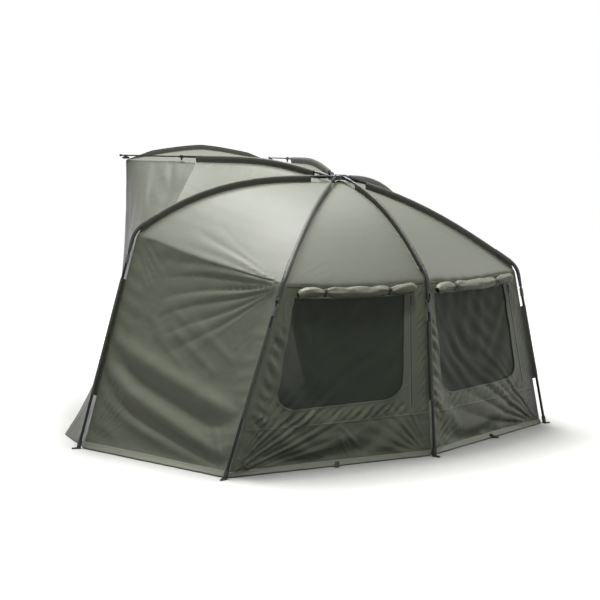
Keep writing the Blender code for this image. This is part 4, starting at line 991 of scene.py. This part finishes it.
def make_roll(name, middles, out, tall, deep, ties, droop, owner, node, flat):
    """Cloth rolled round a line of middles; out points away from the tent, tall and deep are half sizes."""
    roll = new_grid(name, 90, ROLL_STEPS)
    for vert in roll.data.vertices:
        share, step = vert.co.x + 0.5, round((vert.co.y + 0.5) * ROLL_STEPS)
        turn = math.tau * ROLL_TURNS * share
        length = step / ROLL_STEPS
        squeeze = 1 - sum(0.44 * math.exp(-((length - tie) / 0.048) ** 2) for tie in ties)
        drawn_in = sum(math.exp(-((length - tie) / 0.13) ** 2) for tie in ties)
        rumple = 1 + 0.22 * wobble(length * 9.0, math.cos(turn) * 1.2,
                                   math.sin(turn) * 1.2 + middles[0].x * 9)
        rumple += 0.10 * wobble(length * 26.0, math.cos(turn) * 3.5, math.sin(turn) * 3.5)
        wander = wobble(length * 8.0, math.cos(turn), 3.0)
        rumple += (0.04 + 0.11 * drawn_in) * math.sin(6 * turn + 5 * length + 3 * wander)
        between = ties[0] < length < ties[1]
        swell = 1 + 0.16 * math.sin(math.pi * (length - ties[0]) / (ties[1] - ties[0])) * between
        closed = min(1.0, 0.62 + 16 * length, 0.55 + 16 * (1 - length))
        grow = (0.62 + 0.38 * share) * squeeze * rumple * swell * closed
        fall = droop * max(0.0, 1 - length / 0.16) ** 2 + 0.005 * math.sin(math.pi * length)
        vert.co = (middles[step] + out * deep * grow * math.cos(turn)
                   - UP * (tall * grow * math.sin(turn) + fall))
    dress(roll, cover_cloth)
    sew_to(roll, owner, "cover_polyester", "folded", {"flat": flat}, node)


def make_ties(name, middles, ties, along, out, tall, deep, owner):
    """Webbing straps round a roll, each with a toggle pushed through its loop."""
    made = []
    for tie in ties:
        spot = middles[round(tie * ROLL_STEPS)] - UP * 0.005
        bpy.ops.mesh.primitive_cylinder_add(vertices=28, radius=1.0, depth=1.0, end_fill_type="NOTHING")
        band = bpy.context.object
        for vert in band.data.vertices:
            x, y, z = vert.co
            vert.co = spot + out * x * deep + UP * y * tall + along * z * STRAP_WIDTH
        thicken(band, STRAP_THICK, 1.0)
        made.append(band)
        bpy.ops.mesh.primitive_cylinder_add(vertices=16, radius=TOGGLE_RADIUS, depth=TOGGLE_LENGTH)
        toggle = bpy.context.object
        for vert in toggle.data.vertices:
            x, y, z = vert.co
            vert.co = spot + out * (deep + 0.006 + x) + UP * z + along * y
        made.append(toggle)
    joined = join_as(name, made)
    pick([joined])
    dress(joined, nylon, 40)
    fix_to(joined, owner, "trim_polyester")


COVER_START, COVER_RUN = 0.075, 0.830
COVER_DROP, COVER_STAND = 0.026, 0.0285
COVER_TIES = (0.217, 0.771)
for wall_name in ("rear_left", "rear_right"):
    first, second = BAYS[wall_name]
    out = -(hem_of(second) - hem_of(first)).cross(UP).normalized()
    out = out if out.y > 0 else -out
    shares = [COVER_START + COVER_RUN * n / ROLL_STEPS for n in range(ROLL_STEPS + 1)]
    middles = [crease_point(first, second, s) - UP * COVER_DROP + out * COVER_STAND for s in shares]
    make_roll("window_cover_cloth_" + wall_name, middles, out, 0.027, 0.024, COVER_TIES, 0.024,
              second, "window_cover_" + wall_name, WINDOW_CUT)
    along = (middles[-1] - middles[0]).normalized()
    make_ties("window_ties_" + wall_name, middles, COVER_TIES, along, out, 0.0215, 0.0185, second)

DOOR_TIES = (1 / 3, 2 / 3)
DOOR_CUT = (0.90, 0.75)
door_low, door_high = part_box("door_roll")
width, out = door_high.x - door_low.x, Vector((0.0, -1.0, 0.0))
middles = []
for n in range(ROLL_STEPS + 1):
    share = n / ROLL_STEPS
    rise = (1 - abs(2 * share - 1) ** 1.4) * 0.030
    middles.append(Vector((door_low.x + width * share, (door_low.y + door_high.y) / 2,
                           door_low.z + 0.036 + rise)))
make_roll("door_roll_cloth", middles, out, 0.031, 0.031, DOOR_TIES, 0.0, "peak_left", "door_roll", DOOR_CUT)
make_ties("door_ties", middles, DOOR_TIES, Vector((1.0, 0.0, 0.0)), out, 0.0235, 0.0235, "peak_left")


# Hem skirt. A paler doubled band, 25 mm deep, is sewn to the foot of each wall
# and kicks outward to shed water; webbing loops take pegs half way along.
SKIRT_SHARE, SKIRT_CLEAR = 0.013, 0.0025  # the band's share of its bay, and its least height
LOOP_LINE = [(0.010, 0.022), (0.020, 0.016), (0.030, 0.009), (0.042, 0.005), (0.052, 0.0035), (0.060, 0.0045),
             (0.060, 0.008), (0.050, 0.0095), (0.038, 0.011), (0.026, 0.016), (0.014, 0.0235)]
for wall_name, (first, second) in BAYS.items():
    place, size = PLACES[wall_name]
    out = outward_of((foot_of(first) + foot_of(second)) / 2)
    skirt = new_grid("hem_skirt_" + wall_name, 110, 6)
    for vert in skirt.data.vertices:
        s, down = vert.co.x + 0.5, 0.5 - vert.co.y
        spot = place(s, 1 - SKIRT_SHARE * (1 - down), 0.0008)
        ruck = 0.003 * wobble(s * 22.0, down * 2.0, size[0]) * down
        vert.co = spot + out * ((0.010 + 0.016 * math.sin(math.pi * s)) * down ** 1.3 + ruck)
        vert.co.z = max(SKIRT_CLEAR, vert.co.z - 0.001 * down)
    scale_uv(skirt, size[0], 0.04)
    thicken(skirt, 0.0012, 1.0)
    dress(skirt, skirt_cloth)
    fix_to(skirt, second, "wall_polyester")
    if wall_name.startswith("rear"):
        spot = place(0.52, 1.0, 0.0)
        peg_loop = new_grid("peg_loop_" + wall_name, 2, len(LOOP_LINE) - 1)
        along = out.cross(UP)
        for vert in peg_loop.data.vertices:
            reach, height = LOOP_LINE[round((vert.co.y + 0.5) * (len(LOOP_LINE) - 1))]
            vert.co = Vector((spot.x, spot.y, 0.0)) + out * reach + UP * height + along * vert.co.x * 0.024
        dress(peg_loop, binding)
        fix_to(peg_loop, second, "trim_polyester")


# Pole sleeves. Heavier, darker polyester folded over each rib and sewn to the
# roof's seam, so that it stands up as a flat fin with a puckered, stitched foot.
# The fin's outline is in millimetres round the rib's axis.
def sleeve_on(piece, body, node):
    """Dresses a sleeve and fixes it to its pole; it keeps its shape when the frame folds."""
    dress(piece, sleeve_cloth)
    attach(piece, body)
    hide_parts(node)


FIN_START, FIN_DEPTH = 0.16, 32.0
STITCH_RUN = 0.030
FIN = [(-1.2, -32.0), (-2.4, -29.0), (-3.6, -24.0), (-5.6, -17.0), (-7.8, -9.0), (-9.2, -2.0), (-8.8, 3.4),
       (-6.4, 7.4), (0.0, 9.8), (6.4, 7.4), (8.8, 3.4), (9.2, -2.0), (7.8, -9.0), (5.6, -17.0), (3.6, -24.0),
       (2.4, -29.0), (1.2, -32.0)]
for name in RING:
    rib, legged = rib_of(name), bool(rib_of(name)["foot"])
    start, end = FIN_START, (rib["reach"] - 0.040 if legged else PEAK_SEAM)
    seam_end = rib["reach"] - CORNER_INSET
    length = (on_pole(name, end) - on_pole(name, start)).length
    fin = new_grid("sleeve_" + name, len(FIN) - 1, int(length / 0.009))
    for vert in fin.data.vertices:
        share = vert.co.y + 0.5
        x, y = FIN[round((vert.co.x + 0.5) * (len(FIN) - 1))]
        reach = start + (end - start) * share
        spot = on_pole(name, reach)
        ahead = (on_pole(name, reach + 0.01) - on_pole(name, reach - 0.01)).normalized()
        side = ahead.cross(UP).normalized()
        rise = side.cross(ahead)
        full = 1.28 if legged and reach > rib["reach"] - 0.13 else 1.0
        low = max(0.0, -y / FIN_DEPTH)
        own = noise.noise(spot * 30.0 + Vector((0.0, 0.0, 5.0 * (x > 0))))
        wave = math.sin(math.tau * share * length / STITCH_RUN + (x > 0) * 2)
        pucker_mm = 4 * low * (1 - low) * (2.2 * wave + 3.0 * own)
        sag = UP * SEAM_DROP
        if low and legged:
            sag = spot - seam_point(name, min(1.0, (reach - CROWN_HOLE) / (seam_end - CROWN_HOLE)), seam_end)
        flare = 2.5 * low ** 6
        aside = side * (x * full + math.copysign(pucker_mm + flare, x))
        vert.co = spot - sag * low * 1.03 + (aside + rise * max(0.0, y) * full) / 1000
    scale_uv(fin, 0.1, length)
    sleeve_on(fin, "rib_" + name, "roof_" + name)


# Leg sleeves. The same dark cloth loops round each leg and reaches back to the
# corner of the walls, so that the leg pulls the corner outwards.
LEGGED = RING[1:6]
LEG_LOOP = 0.0098  # radius of the loop round the leg
for name in LEGGED:
    low_box, high_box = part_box("leg_sleeve_" + name)
    shoulder = LINES[name][-1]
    lower = (foot_of(name) - shoulder).normalized()
    top = shoulder + lower * (shoulder.z - high_box.z) / -lower.z
    base = shoulder + lower * (shoulder.z - low_box.z) / -lower.z
    corner, hem = corner_of(name), hem_of(name)
    seam_run = (hem - corner).normalized()
    length = (base - top).length
    strip = new_grid("leg_strip_" + name, 22, int(length / 0.010))
    for vert in strip.data.vertices:
        share, around = 0.5 - vert.co.y, -vert.co.x * 2
        spot = top.lerp(base, share)
        seam = corner + seam_run * (spot - corner).dot(seam_run)
        inward = (seam - spot) - lower * (seam - spot).dot(lower)
        web = inward.length
        inward.normalize()
        side = inward.cross(lower).normalized()
        ease = noise.noise(spot * 24.0) * 0.0022
        # The middle 45% of the strip goes round the leg, the rest lies double to the seam.
        if abs(around) < 0.45:
            turn = math.pi * around / 0.9
            vert.co = spot - inward * LEG_LOOP * math.cos(turn) + side * LEG_LOOP * math.sin(turn)
        else:
            reach = (abs(around) - 0.45) / 0.55
            thin = LEG_LOOP * (1 - reach) ** 1.6 + 0.0006
            aside = side * (math.copysign(thin, around) + ease * reach * (1 - reach) * 4)
            vert.co = spot + inward * web * reach + aside
    scale_uv(strip, 0.1, 0.6)
    sleeve_on(strip, "leg_" + name, "leg_sleeve_" + name)


# Peak band. A stiffened strip of heavy cloth stands along the peak's front
# edge, deepest at the crown, with a rolled hem on its upper edge.
BAND_HEIGHT = 0.030
place, size = PLACES["roof_peak_left"]
band = new_grid("peak_band", 90, 8)
for vert in band.data.vertices:
    s, high = 0.01 + 0.98 * (vert.co.x + 0.5), vert.co.y + 0.5
    taper = min(1.0, 6 * s, 6 * (1 - s))
    roll = 0.0025 * math.sin(math.pi * clamp((high - 0.8) / 0.2))
    vert.co = place(s, 1.0) + Vector((0.0, -0.0022 - roll, BAND_HEIGHT * taper * high - 0.003 * (1 - high)))
thicken(band, 0.0022, 0.0)
dress(band, sleeve_cloth, 50)
fix_to(band, "peak_left", "visor_polyester", "peak_visor")


# Leg collars. The socket at the head of each leg is drawn a paler grey than
# the tube; its faces are told from the tube's by how far they stand from the leg's axis.
grey = new_material("paler grey, leg sockets", 600.0, 2.0, "5c5c62", "6b6b72", None, {"Roughness": 0.5})[0]
COLLAR_LENGTH, TUBE_RADIUS = 0.20, 0.0088
for name in LEGGED:
    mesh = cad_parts["leg_" + name].data
    mesh.materials.append(grey)
    shoulder = LINES[name][-1]
    lower = (foot_of(name) - shoulder).normalized()
    for face in mesh.polygons:
        along = (face.center - shoulder).dot(lower)
        aside = (face.center - shoulder - lower * along).length
        if along < COLLAR_LENGTH and aside > TUBE_RADIUS:
            face.material_index = 1
